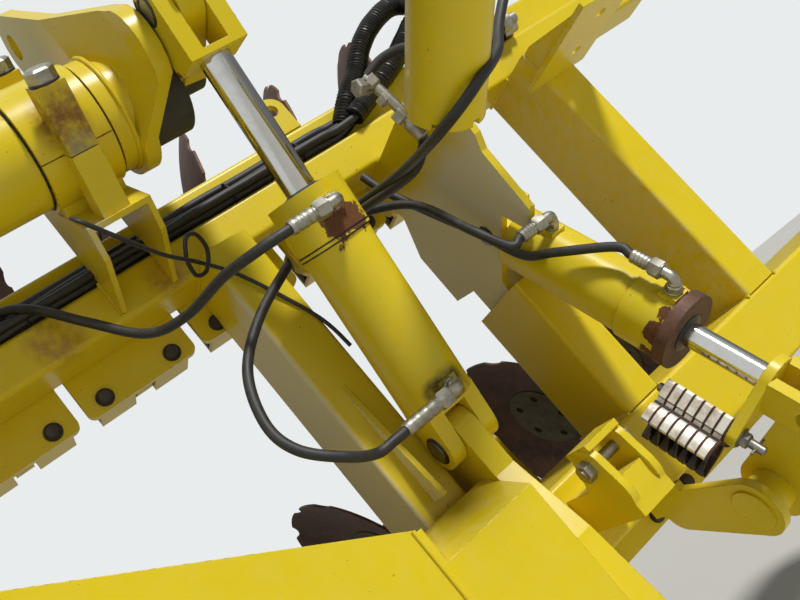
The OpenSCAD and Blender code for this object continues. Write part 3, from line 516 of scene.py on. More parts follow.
chalkAndSheenSide = (-1, -0.1, 0.1)     # plates that face the flange are chalky, and their pale film there is also painted sky reflection
finishes = {
    "paint": enamelPaint("gloss_enamel", wear=1.35),
    # inner post and lift bracket: pale chalk with painted sky reflection on faces turned to -X, fading out
    # upward
    "paintChalkAndSheen": enamelPaint("chalked_and_sheened_enamel", chalkAndSheenSide, 0.92, wear=1.3, chalkAndSheenBelow=(-490, -400)),
    "paintPin": enamelPaint("chipped_enamel", wear=1.3, torn=marks["pin"]),
    "paintGland": enamelPaint("torn_enamel", wear=1.2, torn=marks["gland"], stains=marks["base"]),
    # outer post: a lighter film of the same chalk and painted sky reflection on its faces turned to -X
    "paintPost": enamelPaint("streaked_and_sheened_enamel", chalkAndSheenSide, 0.45, wear=1.7),
    "paintRing": enamelPaint("flaking_enamel", wear=1.3, torn=ringBlots),
    "paintCap": enamelPaint("rust_stained_enamel", wear=1.4, stains=marks["cap"]),
    "paintSaddle": enamelPaint("scuffed_enamel", wear=1.3, stains=marks["saddle"]),
    "paintFrame": enamelPaint("weathered_enamel", wear=1.5, stains=marks["frame"]),
    "primer": rolledDiscSteel("rusted_gland_ring"),
    "zinc": steelFinish("zinc_plated_steel", "#A9A69B", "#5E574A", 0.34),
    "pin": steelFinish("ground_steel_pin", "#8C8983", "#3B342D", 0.36),
    "bolt": steelFinish("blackened_bolt_steel", "#4A4642", "#2A2320", 0.5, metallic=0.7),
    "chrome": chromedRod("hard_chrome"),
    "rubber": rubberSkin("wrapped_hose_rubber", "#121315", "#6B655A", 0.42),
    "wrap": rubberSkin("spiral_wrap_plastic", "#0C0D0F", "#4A463F", 0.25, 0.35, 4),
    "cord": rubberSkin("moulded_rubber_cord", "#1B1B1A", "#77705F", 0.5, 0.6, 5),
    "seal": rubberSkin("scraper_rubber", "#0C0C0D", "#3A352E", 0.3, 0.4, 3),
    "grease": rubberSkin("greased_bore_end", "#3A3833", "#8C8679", 0.6, 0.7, 6),
    "disc": rolledDiscSteel("rolled_boron_steel"),
    "hubPlate": steelFinish("soiled_hub_casting", "#6A6450", "#3B3125", 0.7, metallic=0.1),
    "alloy": steelFinish("cast_aluminium", "#DAD5C8", "#8E6A50", 0.5, 0.6),
    "spacer": steelFinish("rusted_spacer_steel", "#4E3126", "#2E1C16", 0.7, metallic=0.2),
}
print("materials are made")


# mesh helpers

def toMetres(point):
    return Vector(point) * mm


def closeRings(bm, rings, skin):
    # faces between neighbouring rings, and one over each end
    sides = len(rings[0])
    for low, high in zip(rings, rings[1:]):
        for k in range(sides):
            face = bm.faces.new((low[k], low[(k + 1) % sides], high[(k + 1) % sides], high[k]))
            face.material_index = skin
    for ring in (rings[0][::-1], rings[-1]):
        bm.faces.new(ring).material_index = skin


def lathe(bm, seat, profile, sides=40, skin=0):
    # turns (radius, height) points in millimetres round the seat's Z axis
    rings = []
    for radius, height in profile:
        rings.append([bm.verts.new(seat @ Vector((
            radius * mm * math.cos(2 * math.pi * k / sides),
            radius * mm * math.sin(2 * math.pi * k / sides), height * mm))) for k in range(sides)])
    closeRings(bm, rings, skin)


def hexHead(bm, seat, flats, height, skin=0):
    # hexagon with its corners turned off at the top
    corner = flats / math.sqrt(3)
    lathe(bm, seat, [(corner, 0), (corner, height * 0.82), (flats / 2 * 0.93, height)], 6, skin)


def raised(seat, height):
    # the seat moved along its own Z axis by millimetres
    return seat @ Matrix.Translation((0, 0, height * mm))


def sleeveAndNut(bm, seat, cfg):
    lathe(bm, seat, cfg["sleeve"], cfg["sides"])
    hexHead(bm, raised(seat, cfg["nutAt"]), cfg["flats"], cfg["height"])


def smoothPath(points, steps=8):
    # a curve through the points, as the CAD's hoses have
    path = []
    last = len(points) - 1
    for i in range(last):
        a, b, c, d = (Vector(points[max(0, min(last, j))]) for j in (i - 1, i, i + 1, i + 2))
        for k in range(steps):
            t = k / steps
            path.append(0.5 * (2 * b + (c - a) * t + (2 * a - 5 * b + 4 * c - d) * t * t
                               + (3 * b - a - 3 * c + d) * t ** 3))
    return path + [Vector(points[-1])]


def sweep(bm, path, radius, sides=16, skin=0, ripple=None, flat=1.0):
    # a tube along a path in metres, with its rings carried on without twist
    ways = [(path[min(i + 1, len(path) - 1)] - path[max(i - 1, 0)]).normalized() for i in range(len(path))]
    side = ways[0].orthogonal().normalized()
    rings = []
    run = 0.0
    for i, (spot, way) in enumerate(zip(path, ways)):
        side = (side - way * side.dot(way)).normalized()
        other = way.cross(side)
        run += (path[i] - path[i - 1]).length if i else 0.0
        r = radius + (ripple(run) if ripple else 0.0)
        rings.append([bm.verts.new(spot + side * r * math.cos(2 * math.pi * k / sides)
                                   + other * r * flat * math.sin(2 * math.pi * k / sides))
                      for k in range(sides)])
    closeRings(bm, rings, skin)


def ripples(cfg):
    # how far a wrap or a bead swells, for a run in metres
    return lambda run: cfg["depth"] * mm * math.sin(2 * math.pi * run / (cfg["pitch"] * mm))


def layHose(bm, route, radius, sides, steps, skin=0, ripple=None):
    # a hose along a route in millimetres
    sweep(bm, smoothPath([toMetres(p) for p in route], steps), radius * mm, sides, skin, ripple)


def addPiece(name, body, bm, skins, replaced=(), crease=35):
    # makes the object, keeps its sharp edges sharp, and lets it ride on its body
    bmesh.ops.recalc_face_normals(bm, faces=bm.faces)
    for edge in bm.edges:
        edge.smooth = len(edge.link_faces) < 2 or edge.calc_face_angle(0) < math.radians(crease)
    for face in bm.faces:
        face.smooth = True
    mesh = bpy.data.meshes.new(name)
    bm.to_mesh(mesh)
    bm.free()
    for skin in skins:
        mesh.materials.append(finishes[skin])
    piece = bpy.data.objects.new(name, mesh)
    bpy.context.scene.collection.objects.link(piece)
    if body:
        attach(piece, body)
    if replaced:
        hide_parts(*replaced)
    return piece


def dressNode(name, node, body, skins, rule):
    # a copy of a CAD node's own faces, in which each face gets the finish that the rule gives its place
    bm = bmesh.new()
    bm.from_mesh(nodes[node].data)
    bm.transform(nodes[node].matrix_world)
    bmesh.ops.remove_doubles(bm, verts=bm.verts, dist=1e-5)
    for face in bm.faces:
        face.material_index = rule(face.calc_center_median() / mm)
    return addPiece(name, body, bm, skins, [node])


print("helpers are ready")


# hoses, along the routes of part.scad, in millimetres

hoseLook = {"radius": 10.0, "sides": 18, "steps": 10}
# a route's last points, as many as byLift says, lie in the lift cylinder's own frame
wingHoses = {
    "tilt_gland_hose": {
        "route": [(535, 222, -160), (590, 195, -163), (640, 168, -205), (700, 130, -300),
                  (765, 80, -400), (830, 10, -435), (890, -110, -450), (935, -195, -472),
                  (975, -215, -477), (1008, -215, -477)],
        "to": "tilt_cylinder_barrel", "node": "hoses_tilt",
        "start": (765, 80, -400), "end": (1008, -215, -477),
    },
    "tilt_base_hose": {
        "route": [(1050, 20, -460), (925, -30, -525), (830, -75, -605), (790, -100, -700),
                  (800, -115, -770), (855, -120, -830), (910, -92, -858), (950, -90, -860),
                  (983, -90, -860)],
        "to": "tilt_cylinder_barrel", "node": "hoses_tilt",
        "start": (1050, 20, -460), "end": (983, -90, -860),
    },
    "lift_base_hose": {
        "route": [(1240, 110, -425), (1310, 105, -432), (1375, 40, -500), (1374, -60, -635),
                  (-126, 109, 142), (-100, 111, 142), (-91, 111, 142)],
        "byLift": 3, "to": "lift_cylinder_barrel", "node": "hoses_lift",
        "start": (1310, 105, -432), "end": (1429, -103, -712),
    },
    "lift_gland_hose": {
        "route": [(1385, 150, -345), (1390, 120, -420), (1410, 60, -540), (1430, 10, -640),
                  (-72, 40, 130), (-58, 80, 200), (-2, 116, 300), (0, 116, 335), (0, 116, 344)],
        "byLift": 5, "to": "lift_cylinder_barrel", "node": "hoses_lift",
        "start": (1390, 120, -420), "end": (1520, -198, -887),
    },
}


def routeOf(cfg):
    count = len(cfg["route"]) - cfg.get("byLift", 0)
    fixed = [toMetres(p) for p in cfg["route"][:count]]
    return fixed + [byLift(*p) for p in cfg["route"][count:]]


for name, cfg in wingHoses.items():
    bm = bmesh.new()
    sweep(bm, smoothPath(routeOf(cfg), hoseLook["steps"]), hoseLook["radius"] * mm, hoseLook["sides"])
    hose = addPiece(name, None, bm, ["rubber"], [cfg["node"]])
    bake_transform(hose)

# six hoses lie loosely side by side on the front beam, from its flange end into the spiral wrap
bundle = {
    "from": 180, "to": 1400, "apart": 110, "last": 1440, "wander": 4.0, "sides": 14, "steps": 6,
    "rows": [(229.5, -204.7), (209.2, -204.7), (229.5, -184.4), (209.2, -184.4), (219.0, -166.0),
             (189.5, -196.0)],
    "into": [(1520, 219, -183), (1520, 207, -183), (1520, 217, -172), (1550, 193, -181),
             (1520, 206, -171), (1550, 187, -188)],
    "thirdRoute": [(1516, -695, -286), (1590, -694, -285), (1655, -640, -284), (1672, -540, -296),
                   (1650, -440, -318), (1592, -372, -356), (1502, -378, -420), (1432, -406, -472),
                   (1344, -427, -507), (1298, -382, -518), (1284, -290, -508), (1306, -130, -472),
                   (1308, 20, -432), (1290, 120, -400), (1275, 230, -330), (1270, 280, -329)],
    "teeRoute": [(1326, -228, -464), (1325, -200, -478), (1316, -130, -486), (1296, 10, -450),
                 (1270, 120, -410), (1252, 230, -330), (1248, 280, -329)],
}
random.seed(4)
bm = bmesh.new()
for (y, z), goal in zip(bundle["rows"], bundle["into"]):
    route = [(x, y - random.uniform(0, bundle["wander"]), z + random.uniform(0, bundle["wander"]))
             for x in range(bundle["from"], bundle["to"], bundle["apart"])]
    route += [(bundle["last"], y, z), goal]
    layHose(bm, route, hoseLook["radius"], bundle["sides"], bundle["steps"])
for route in (bundle["thirdRoute"], bundle["teeRoute"]):
    layHose(bm, route, hoseLook["radius"], hoseLook["sides"], hoseLook["steps"])
addPiece("frame_hoses", "wing_frame", bm, ["rubber"], ["hose_bundle"])

# crimped ends of the bundle at the flange, stepped so that they lie side by side
crimpedEnd = {
    "first": 6, "stagger": 46, "sides": 24,
    "sleeve": [(10, -2), (11.6, 0), (11.6, 30), (10, 31), (10, 34)],
    "nutAt": 33, "flats": 21, "height": 12,
}
bm = bmesh.new()
for i, (y, z) in enumerate(bundle["rows"]):
    x = bundle["from"] + crimpedEnd["first"] + crimpedEnd["stagger"] * (i % 2)
    sleeveAndNut(bm, frameAlong(toMetres((x, y, z)), (-1, 0, 0), (0, 1, 0)), crimpedEnd)
addPiece("bundle_ends", "wing_frame", bm, ["zinc"])

thirdGland = {
    "place": (1459, -699, -284), "way": (0.993, 0.077, -0.036), "sides": 28,
    "sleeve": [(21, -6), (21, 2), (14, 4), (14, 58), (11, 60)],
    "nutAt": 8, "flats": 32, "height": 20,
}
bm = bmesh.new()
sleeveAndNut(bm, frameAlong(toMetres(thirdGland["place"]), thirdGland["way"]), thirdGland)
addPiece("third_gland_fitting", "wing_frame", bm, ["zinc"])

# the bundle goes on in two spiral wraps, which come down on the beam and end in plain sleeves
wrapped = {
    "radius": 25, "pitch": 9, "depth": 2.2, "sides": 20, "steps": 40,
    "sleeve": [(20, -2), (25, 0), (25, 30), (16, 34), (16, 60), (13, 62)], "sleeveBack": 4, "sleeveSides": 32,
    "routes": [[(1470, 214, -186), (1531, 208, -132), (1604, 210, -81), (1662, 210, -29),
                (1737, 205, 12), (1821, 198, 26), (1880, 200, -20), (1900, 206, -100),
                (1950, 213, -170), (2040, 214, -189)],
               [(1500, 190, -189), (1596, 190, -155), (1686, 188, -122), (1766, 180, -80), (1825, 172, -56),
                (1885, 172, -100), (1930, 172, -165), (2010, 164, -189)]],
}
bm = bmesh.new()
for route in wrapped["routes"]:
    layHose(bm, route, wrapped["radius"], wrapped["sides"], wrapped["steps"], ripple=ripples(wrapped))
    end = toMetres(route[-1]) - Vector((wrapped["sleeveBack"] * mm, 0, 0))
    lathe(bm, frameAlong(end, (1, 0, 0), (0, 1, 0)), wrapped["sleeve"], wrapped["sleeveSides"], 1)
addPiece("wrapped_hoses", "wing_frame", bm, ["wrap", "zinc"])

# a thin cable crosses from the clamp to the inner post, with a spare loop
cable = {
    "radius": 4.5, "sides": 10, "steps": 8,
    "routes": [[(742, -140, -228), (748, -158, -252), (790, -120, -292), (860, -20, -322), (930, 60, -345),
                (990, 88, -410), (1060, 98, -560), (1075, 99, -650)],
               [(905, 40, -330), (925, 20, -300), (952, 40, -296), (962, 75, -322), (940, 92, -352),
                (912, 78, -356), (905, 46, -334)]],
}
bm = bmesh.new()
for route in cable["routes"]:
    layHose(bm, route, cable["radius"], cable["sides"], cable["steps"])
addPiece("sensor_cable", "wing_frame", bm, ["rubber"])

ties = {
    "places": [330, 620, 905, 1130, 1330], "centre": (217, -190), "reach": (28, 30),
    "thick": 1.6, "flat": 2.2, "corners": 28, "sides": 8,
}
bm = bmesh.new()
for x in ties["places"]:
    ring = []
    for k in range(ties["corners"] + 1):
        a = 2 * math.pi * k / ties["corners"]
        ring.append(toMetres((x, ties["centre"][0] + ties["reach"][0] * math.cos(a),
                              ties["centre"][1] + ties["reach"][1] * math.sin(a))))
    sweep(bm, ring, ties["thick"] * mm, ties["sides"], flat=ties["flat"])
addPiece("cable_ties", "wing_frame", bm, ["seal"])
print("hoses are laid")


# hydraulic fittings, on the ports of part.scad

fitting = {
    "sides": 28,
    "collar": [(15.5, -2), (16.5, 0), (16.5, 3), (14, 4)],
    "adapterFrom": 3, "adapterFlats": 28, "adapterHeight": 16,
    "neckFrom": 17, "neck": [(12.5, 0), (12.5, 6), (11.5, 7)], "neckSides": 24,
    "stem": 33, "tube": 11.5, "tubeSides": 20, "tubeEnd": 32, "bend": 14, "bendSteps": 8,
    "nutFrom": 30, "nutTo": 56, "nutFlats": 33, "nutRing": [(15, -3), (16, -2), (16, 1)],
    "mouth": 11, "shoulder": 13, "sleeve": 14.5, "groove": 1.3, "overlap": 6, "crimps": 4,
}


def elbowFitting(bm, place, out, run, reach):
    # adapter, bent tube, union nut and crimped sleeve; place is the port's face, out and run are directions
    cfg = fitting
    out, run = Vector(out).normalized(), Vector(run).normalized()
    lathe(bm, frameAlong(place, out), cfg["collar"], cfg["sides"])
    hexHead(bm, frameAlong(place + out * cfg["adapterFrom"] * mm, out),
            cfg["adapterFlats"], cfg["adapterHeight"])
    neck = place + out * cfg["neckFrom"] * mm
    lathe(bm, frameAlong(neck, out), cfg["neck"], cfg["neckSides"])
    corner = place + out * cfg["stem"] * mm
    tube = [neck]
    for k in range(cfg["bendSteps"] + 1):
        a = math.pi / 2 * k / cfg["bendSteps"]
        tube.append(corner - out * cfg["bend"] * mm * (1 - math.sin(a))
                    + run * cfg["bend"] * mm * (1 - math.cos(a)))
    sweep(bm, tube + [corner + run * cfg["tubeEnd"] * mm], cfg["tube"] * mm, cfg["tubeSides"])
    nut = frameAlong(corner + run * cfg["nutFrom"] * mm, run)
    hexHead(bm, nut, cfg["nutFlats"], cfg["nutTo"] - cfg["nutFrom"])
    lathe(bm, nut, cfg["nutRing"], cfg["sides"])
    start, end = cfg["nutTo"], reach + cfg["overlap"]
    outer, waist = cfg["sleeve"], cfg["sleeve"] - cfg["groove"]
    profile = [(cfg["mouth"], start - 2), (cfg["shoulder"], start), (cfg["shoulder"], start + 3)]
    span = (end - start - 6) / cfg["crimps"]
    for k in range(cfg["crimps"]):
        z = start + 4 + k * span
        profile += [(waist, z), (outer, z + span * 0.25), (outer, z + span * 0.8), (waist, z + span * 0.95)]
    profile += [(outer - 1.5, end - 1), (cfg["mouth"], end)]
    lathe(bm, frameAlong(corner, run), profile, cfg["sides"])


bossHeight = 8
hosePorts = {
    "tilt_hose_fittings": {
        "node": "tilt_fittings", "body": "tilt_cylinder_barrel",
        "place": byTilt, "frame": tiltFrame, "side": -1,
        "ports": [{"z": 507, "r": 78, "reach": 106, "run": (-1, 0, 0)},
                  {"z": 104, "r": 73, "reach": 131, "run": (-1, 0, 0)}],
    },
    "lift_hose_fittings": {
        "node": "lift_fittings", "body": "lift_cylinder_barrel",
        "place": byLift, "frame": liftFrame, "side": 1,
        "ports": [{"z": 435, "r": 75, "reach": 90, "run": -liftWay},
                  {"z": 142, "r": 70, "reach": 90, "run": (-1, 0, 0)}],
    },
}
for name, cfg in hosePorts.items():
    bm = bmesh.new()
    out = cfg["frame"].to_3x3() @ Vector((0, cfg["side"], 0))
    for port in cfg["ports"]:
        face = cfg["place"](0, cfg["side"] * (port["r"] + bossHeight), port["z"])
        elbowFitting(bm, face, out, port["run"], port["reach"])
    addPiece(name, cfg["body"], bm, ["zinc"], [cfg["node"]])

# bent hose and tee of the third cylinder, from the port on its far side
teeChain = {
    "tube": [(1374, -332, -384), (1384, -318, -356), (1372, -292, -326), (1340, -268, -314),
             (1305, -252, -322)],
    "run": [(1296, -250, -320), (1304, -249, -346), (1312, -246, -392), (1319, -238, -436),
            (1326, -226, -468)],
    "branch": [(1304, -249, -344), (1262, -262, -336)],
    "tubeRadius": 9.5, "runRadius": 10.5, "sides": 18, "steps": 8,
    "nuts": [(0.04, 36, 22), (0.30, 30, 18), (0.56, 34, 24)],       # share of the run, flats and height
    "sleeveAt": 0.74, "sleeve": [(12, 0), (14.5, 2), (14.5, 38), (12, 40)], "sleeveSides": 28,
    "branchBack": 14, "branchNut": (30, 16),
    "portWay": (0.302, 0.434, 0.849), "portNut": (28, 18),
}
bm = bmesh.new()
layHose(bm, teeChain["tube"], teeChain["tubeRadius"], teeChain["sides"], teeChain["steps"], 1)
layHose(bm, teeChain["run"], teeChain["runRadius"], teeChain["sides"], teeChain["steps"])
sweep(bm, [toMetres(p) for p in teeChain["branch"]], teeChain["runRadius"] * mm, teeChain["sides"])
first, last = (toMetres(teeChain["run"][i]) for i in (0, -1))
for share, flats, length in teeChain["nuts"]:
    hexHead(bm, frameAlong(first.lerp(last, share), last - first), flats, length)
branchStart, branchEnd = (Vector(p) for p in teeChain["branch"])
branchWay = branchEnd - branchStart
nutSpot = branchEnd * mm - branchWay.normalized() * teeChain["branchBack"] * mm
hexHead(bm, frameAlong(nutSpot, branchWay), *teeChain["branchNut"])
lathe(bm, frameAlong(first.lerp(last, teeChain["sleeveAt"]), last - first),
      teeChain["sleeve"], teeChain["sleeveSides"])
hexHead(bm, frameAlong(toMetres(teeChain["tube"][0]), teeChain["portWay"]), *teeChain["portNut"])
addPiece("third_tee", "wing_frame", bm, ["zinc", "rubber"])
print("fittings are on")


# cylinders, with each face's own finish

def alongAxis(point, base, way):
    # height along an axis and distance from it, both in millimetres
    offset = point - base / mm
    height = offset.dot(way)
    return height, (offset - way * height).length


def fromAxisX(offset):
    return Vector((0, offset.y, offset.z)).length


# where one finish gives way to the next, in millimetres along the axis or away from it
tiltRodZones = {"bar": 33, "barTop": 843, "eye": 969.4, "pin": 25.5}
tiltBarrelZones = {"cheek": 62, "pin": 25.5, "sealFrom": 436, "sealTo": 456, "seal": 77.5}
liftRodZones = {"bar": 26, "barTop": 644}
liftBarrelZones = {"cheek": 26.5, "pin": 19.5, "ring": 454.5}
linkBolt = {"axis": (0, -66, -1130), "head": 25, "stud": 12.5, "platesFrom": 1214.5, "platesTo": 1305.5}
thirdRod = {"base": (1347, -300, -474), "way": (0.085, -0.9, 0.43), "from": 480, "to": 520,
            "inner": 28, "outer": 31}
hubEnd = {"x": 989.5, "radius": 104}
discHub = {"radius": 100.5}
discsPerRow = 6


def tiltRodRule(point):
    height, away = alongAxis(point, tiltBase, tiltWay)
    if away < tiltRodZones["bar"] and height < tiltRodZones["barTop"]:
        return 1
    eye = tiltBase / mm + tiltWay * tiltRodZones["eye"]
    return 2 if fromAxisX(point - eye) < tiltRodZones["pin"] else 0


def tiltBarrelRule(point):
    cfg = tiltBarrelZones
    height, away = alongAxis(point, tiltBase, tiltWay)
    offset = point - tiltBase / mm
    if abs(offset.x) > cfg["cheek"] and fromAxisX(offset) < cfg["pin"]:
        return 1
    return 2 if cfg["sealFrom"] < height < cfg["sealTo"] and away < cfg["seal"] else 0


def liftRodRule(point):
    height, away = alongAxis(point, liftBase, liftWay)
    return 1 if away < liftRodZones["bar"] and height < liftRodZones["barTop"] else 0


def liftBarrelRule(point):
    cfg = liftBarrelZones
    offset = point - liftBase / mm
    if abs(offset.x) > cfg["cheek"] and fromAxisX(offset) < cfg["pin"]:
        return 1
    return 2 if alongAxis(point, liftBase, liftWay)[0] > cfg["ring"] else 0


def linkBoltRule(point):
    # the bolt's head and nut outside the plates, and its shank between them
    away = fromAxisX(point - Vector(linkBolt["axis"]))
    outside = point.x < linkBolt["platesFrom"] or point.x > linkBolt["platesTo"]
    return 1 if away < linkBolt["stud"] or outside and away < linkBolt["head"] else 0


def thirdRule(point):
    height, away = alongAxis(point, toMetres(thirdRod["base"]), Vector(thirdRod["way"]).normalized())
    shows = thirdRod["from"] < height < thirdRod["to"]
    return 1 if shows and thirdRod["inner"] < away < thirdRod["outer"] else 0


def armRule(point):
    # the hub's far end is bare under its grease
    return 1 if point.x > hubEnd["x"] and fromAxisX(point) < hubEnd["radius"] else 0


dressedCylinders = [
    ("tilt_rod", "tilt_cylinder_rod", ["paintPin", "chrome", "pin"], "chromed_rod", tiltRodRule),
    ("tilt_barrel", "tilt_cylinder_barrel", ["paintGland", "pin", "seal"], "frame_paint", tiltBarrelRule),
    ("lift_rod", "lift_cylinder_rod", ["paint", "chrome"], "chromed_rod", liftRodRule),
    ("lift_barrel", "lift_cylinder_barrel", ["paintRing", "pin", "primer"], "frame_paint", liftBarrelRule),
]
dressedPlates = [
    ("link_bracket", "wing_frame", ["paint", "zinc"], "frame_paint", linkBoltRule),
    ("wing_cylinder", "wing_frame", ["paint", "chrome"], "frame_paint", thirdRule),
    ("tilt_arm", "carrier", ["paint", "grease"], "frame_paint", armRule),
]
for node, body, skins, slotName, rule in dressedCylinders:
    dressNode(f"{node}_dressed", node, body, skins, rule)

ringSides = 48

# wiper rings where the rods leave their glands
scrapers = {
    "tilt_scraper": {"body": "tilt_cylinder_barrel", "place": byTilt, "way": tiltWay,
                     "z": 553, "rod": 31.75, "outer": 50},
    "lift_scraper": {"body": "lift_cylinder_barrel", "place": byLift, "way": liftWay,
                     "z": 481, "rod": 25.4, "outer": 40},
}
for name, cfg in scrapers.items():
    bm = bmesh.new()
    inner, outer = cfg["rod"] + 0.4, cfg["outer"]
    lathe(bm, frameAlong(cfg["place"](0, 0, cfg["z"]), cfg["way"]),
          [(inner, -1), (outer, -1), (outer, 1.5), (cfg["rod"] + 6, 3.5), (inner, 6)],
          ringSides)
    addPiece(name, cfg["body"], bm, ["seal"])

for node, body, skins, slotName, rule in dressedPlates:
    dressNode(f"{node}_dressed", node, body, skins, rule)
for row in ("upper", "lower"):
    for i in range(1, discsPerRow + 1):
        spin = jointNamed(f"spin_{row}_{i}")
        hubSpot, hubWay = Vector(spin["pos_m"]), Vector(spin["axis"]).normalized()
        disc = f"disc_{row}_{i}"
        dressNode(f"{disc}_dressed", disc, disc, ["disc", "hubPlate"],
                  lambda point: 1 if alongAxis(point, hubSpot, hubWay)[1] < discHub["radius"] else 0)

# black rings of old grease round the pins, and in the gaps beside the clamps
greaseRings = {
    "tilt_pin_grease": {"body": "tilt_cylinder_barrel", "centre": (1052, 50, -925),
                        "inner": 24.5, "outer": 31},
    "eye_pin_grease": {"body": "tilt_cylinder_rod", "centre": (1052.6, -240, 0),
                       "inner": 24.5, "outer": 31},
    "lift_pin_grease": {"body": "wing_frame", "centre": (1473.5, 68, -640),
                        "inner": 18.6, "outer": 25},
}
greaseRagged = 0.8
random.seed(7)
for name, cfg in greaseRings.items():
    bm = bmesh.new()
    lathe(bm, frameAlong(toMetres(cfg["centre"]), (1, 0, 0), (0, 1, 0)),
          [(cfg["inner"], 2.2), (cfg["inner"], -1.6), (cfg["outer"] - 2, -0.8), (cfg["outer"], 2.2)],
          ringSides)
    for vert in bm.verts:
        vert.co += Vector((0, random.uniform(-greaseRagged, greaseRagged),
                           random.uniform(-greaseRagged, greaseRagged))) * mm
    addPiece(name, cfg["body"], bm, ["seal"])

clampGaps = {
    "xs": [186.4, 335.4, 766.4, 915.4], "width": 3.2, "inner": 95.4, "outer": 112,
    "ragged": 2.4, "raggedFrom": 105, "sides": 150,
}
bm = bmesh.new()
for x in clampGaps["xs"]:
    inner, outer, width = clampGaps["inner"], clampGaps["outer"], clampGaps["width"]
    lathe(bm, frameAlong(toMetres((x, 0, 0)), (1, 0, 0), (0, 1, 0)),
          [(inner, 0), (outer, 0.3), (outer + 1, width / 2), (outer, width - 0.3), (inner, width)],
          clampGaps["sides"])
for vert in bm.verts:
    away = Vector((0, vert.co.y, vert.co.z))
    if away.length > clampGaps["raggedFrom"] * mm:
        vert.co += away.normalized() * random.uniform(-1, 1) * clampGaps["ragged"] * mm
addPiece("clamp_gap_grease", "carrier", bm, ["seal"])
print("cylinders are dressed")


# stroke stops: a hinge block and a C-shaped jaw on each, with rusty steel between them

stops = {
    "plateZ": 645, "pitch": 20, "count": 7, "thick": 15.4, "gap": 0.4, "spacerShrink": 1.6,
    "bar": (-92, -70), "ring": 58, "outer": 40, "inner": 26,
    "barFrom": 490, "barProfile": [(7, 0), (9, 2), (9, 154)], "barSides": 28,
}
stopTip = {
    "from": 665, "sleeve": [(20, 0), (20, 3), (9.2, 3.2), (9.2, 46), (7, 48)], "sides": 32,
    "nutAt": 3, "flats": 28, "height": 14,
    "cotterAt": 32, "cotterBack": 20, "cotter": [(2.6, 0), (2.6, 42)], "cotterSides": 12,
}


def arcPoints(centre, radius, degrees):
    turns = [math.radians(d) for d in degrees]
    return [(centre + radius * math.cos(a), radius * math.sin(a)) for a in turns]


def stopOutline(cfg, shrink):
    # one segment's outline: u runs away from the rod and v across it
    # a block on the bar, a notch, a near arm and a longer far arm
    outer, inner, ring = cfg["outer"] - shrink, cfg["inner"] + shrink, cfg["ring"]
    points = [(-23 + shrink, 20), (-23 + shrink, -20), (-18, -25 + shrink), (12, -25 + shrink)]
    points += arcPoints(ring, outer, range(224, 271, 9))
    points += [(ring + 24, -outer), (ring + 38, -outer - 2), (ring + 44 - shrink, -outer + 4),
               (ring + 40, -inner - 2), (ring + 20, -inner)]
    points += arcPoints(ring, inner, range(270, 89, -12))
    points += [(ring + 8, inner), (ring + 12 - shrink, inner + 3), (ring + 12 - shrink, outer - 3),
               (ring + 8, outer)]
    points += arcPoints(ring, outer, range(90, 133, 8))
    points += [(30, 25 - shrink), (24, 18), (17, 20), (14, 25 - shrink), (-18, 25 - shrink)]
    return points


barPoint = Vector(stops["bar"])
along = barPoint.normalized()
across = Vector((-along.y, along.x))
if (liftFrame.to_3x3() @ Vector((across.x, across.y, 0))).x > 0:
    across = -across
bm = bmesh.new()
for i in range(1, stops["count"] + 1):
    base = stops["plateZ"] - i * stops["pitch"]
    top = base + stops["thick"]
    spacerTop = base + stops["pitch"] - stops["gap"]
    for low, high, shrink, skin in ((base, top, 0, 0), (top, spacerTop, stops["spacerShrink"], 1)):
        outline = stopOutline(stops, shrink)
        corners = [barPoint + along * u + across * v for u, v in outline]
        rings = [[bm.verts.new(byLift(q.x, q.y, z)) for q in corners] for z in (low, high)]
        firstSide = len(bm.faces)
        closeRings(bm, rings, skin)
        bm.faces.ensure_lookup_table()
        for k, (u, v) in enumerate(outline):
            # the inside of each jaw is dark steel, partly for the oil that blackens it and partly as painted
            # shade in the jaw's hollow
            if skin == 0 and u > stops["inner"] and v < stops["inner"] + 2:
                bm.faces[firstSide + k].material_index = 2
bmesh.ops.triangulate(bm, faces=[face for face in bm.faces if len(face.verts) > 4])
lathe(bm, frameAlong(byLift(*stops["bar"], stops["barFrom"]), liftWay), stops["barProfile"],
      stops["barSides"], 3)
addPiece("stop_stack", "lift_cylinder_rod", bm, ["alloy", "spacer", "bolt", "pin"],
         ["stop_segments"])
bm = bmesh.new()
tip = frameAlong(byLift(*stops["bar"], stopTip["from"]), liftWay)
sleeveAndNut(bm, tip, stopTip)
hole = tip @ Matrix.Translation((-stopTip["cotterBack"] * mm, 0, stopTip["cotterAt"] * mm))
lathe(bm, hole @ Matrix.Rotation(math.pi / 2, 4, "Y"), stopTip["cotter"], stopTip["cotterSides"])
addPiece("stop_bar_nut", "lift_cylinder_rod", bm, ["pin"])
print("stroke stops are stacked")


# bolts

clampBolts = {
    "xs": (262.5, 842.5), "out": 132, "height": 127, "lean": 45, "flats": 48, "thick": 24,
    "washer": [(27, 0.0), (28, 0.6), (28, 4.4), (27, 5)], "washerThick": 5, "washerSides": 40,
    "turned": 0.4,      # radians, so that no two heads stand alike
}
bm = bmesh.new()
lean = math.radians(clampBolts["lean"])
up = Vector((0, -math.sin(lean), math.cos(lean)))
outward = Vector((0, math.cos(lean), math.sin(lean)))
for x in clampBolts["xs"]:
    for side in (-1, 1):
        foot = toMetres(Vector((x, 0, 0)) + outward * side * clampBolts["out"] + up * clampBolts["height"])
        lathe(bm, frameAlong(foot, up), clampBolts["washer"], clampBolts["washerSides"], 1)
        seat = frameAlong(foot + up * clampBolts["washerThick"] * mm, up)
        hexHead(bm, seat @ Matrix.Rotation(clampBolts["turned"] + x, 4, "Z"), clampBolts["flats"],
                clampBolts["thick"])
addPiece("clamp_bolts_dressed", "wing_frame", bm, ["zinc", "bolt"], ["clamp_bolts"])

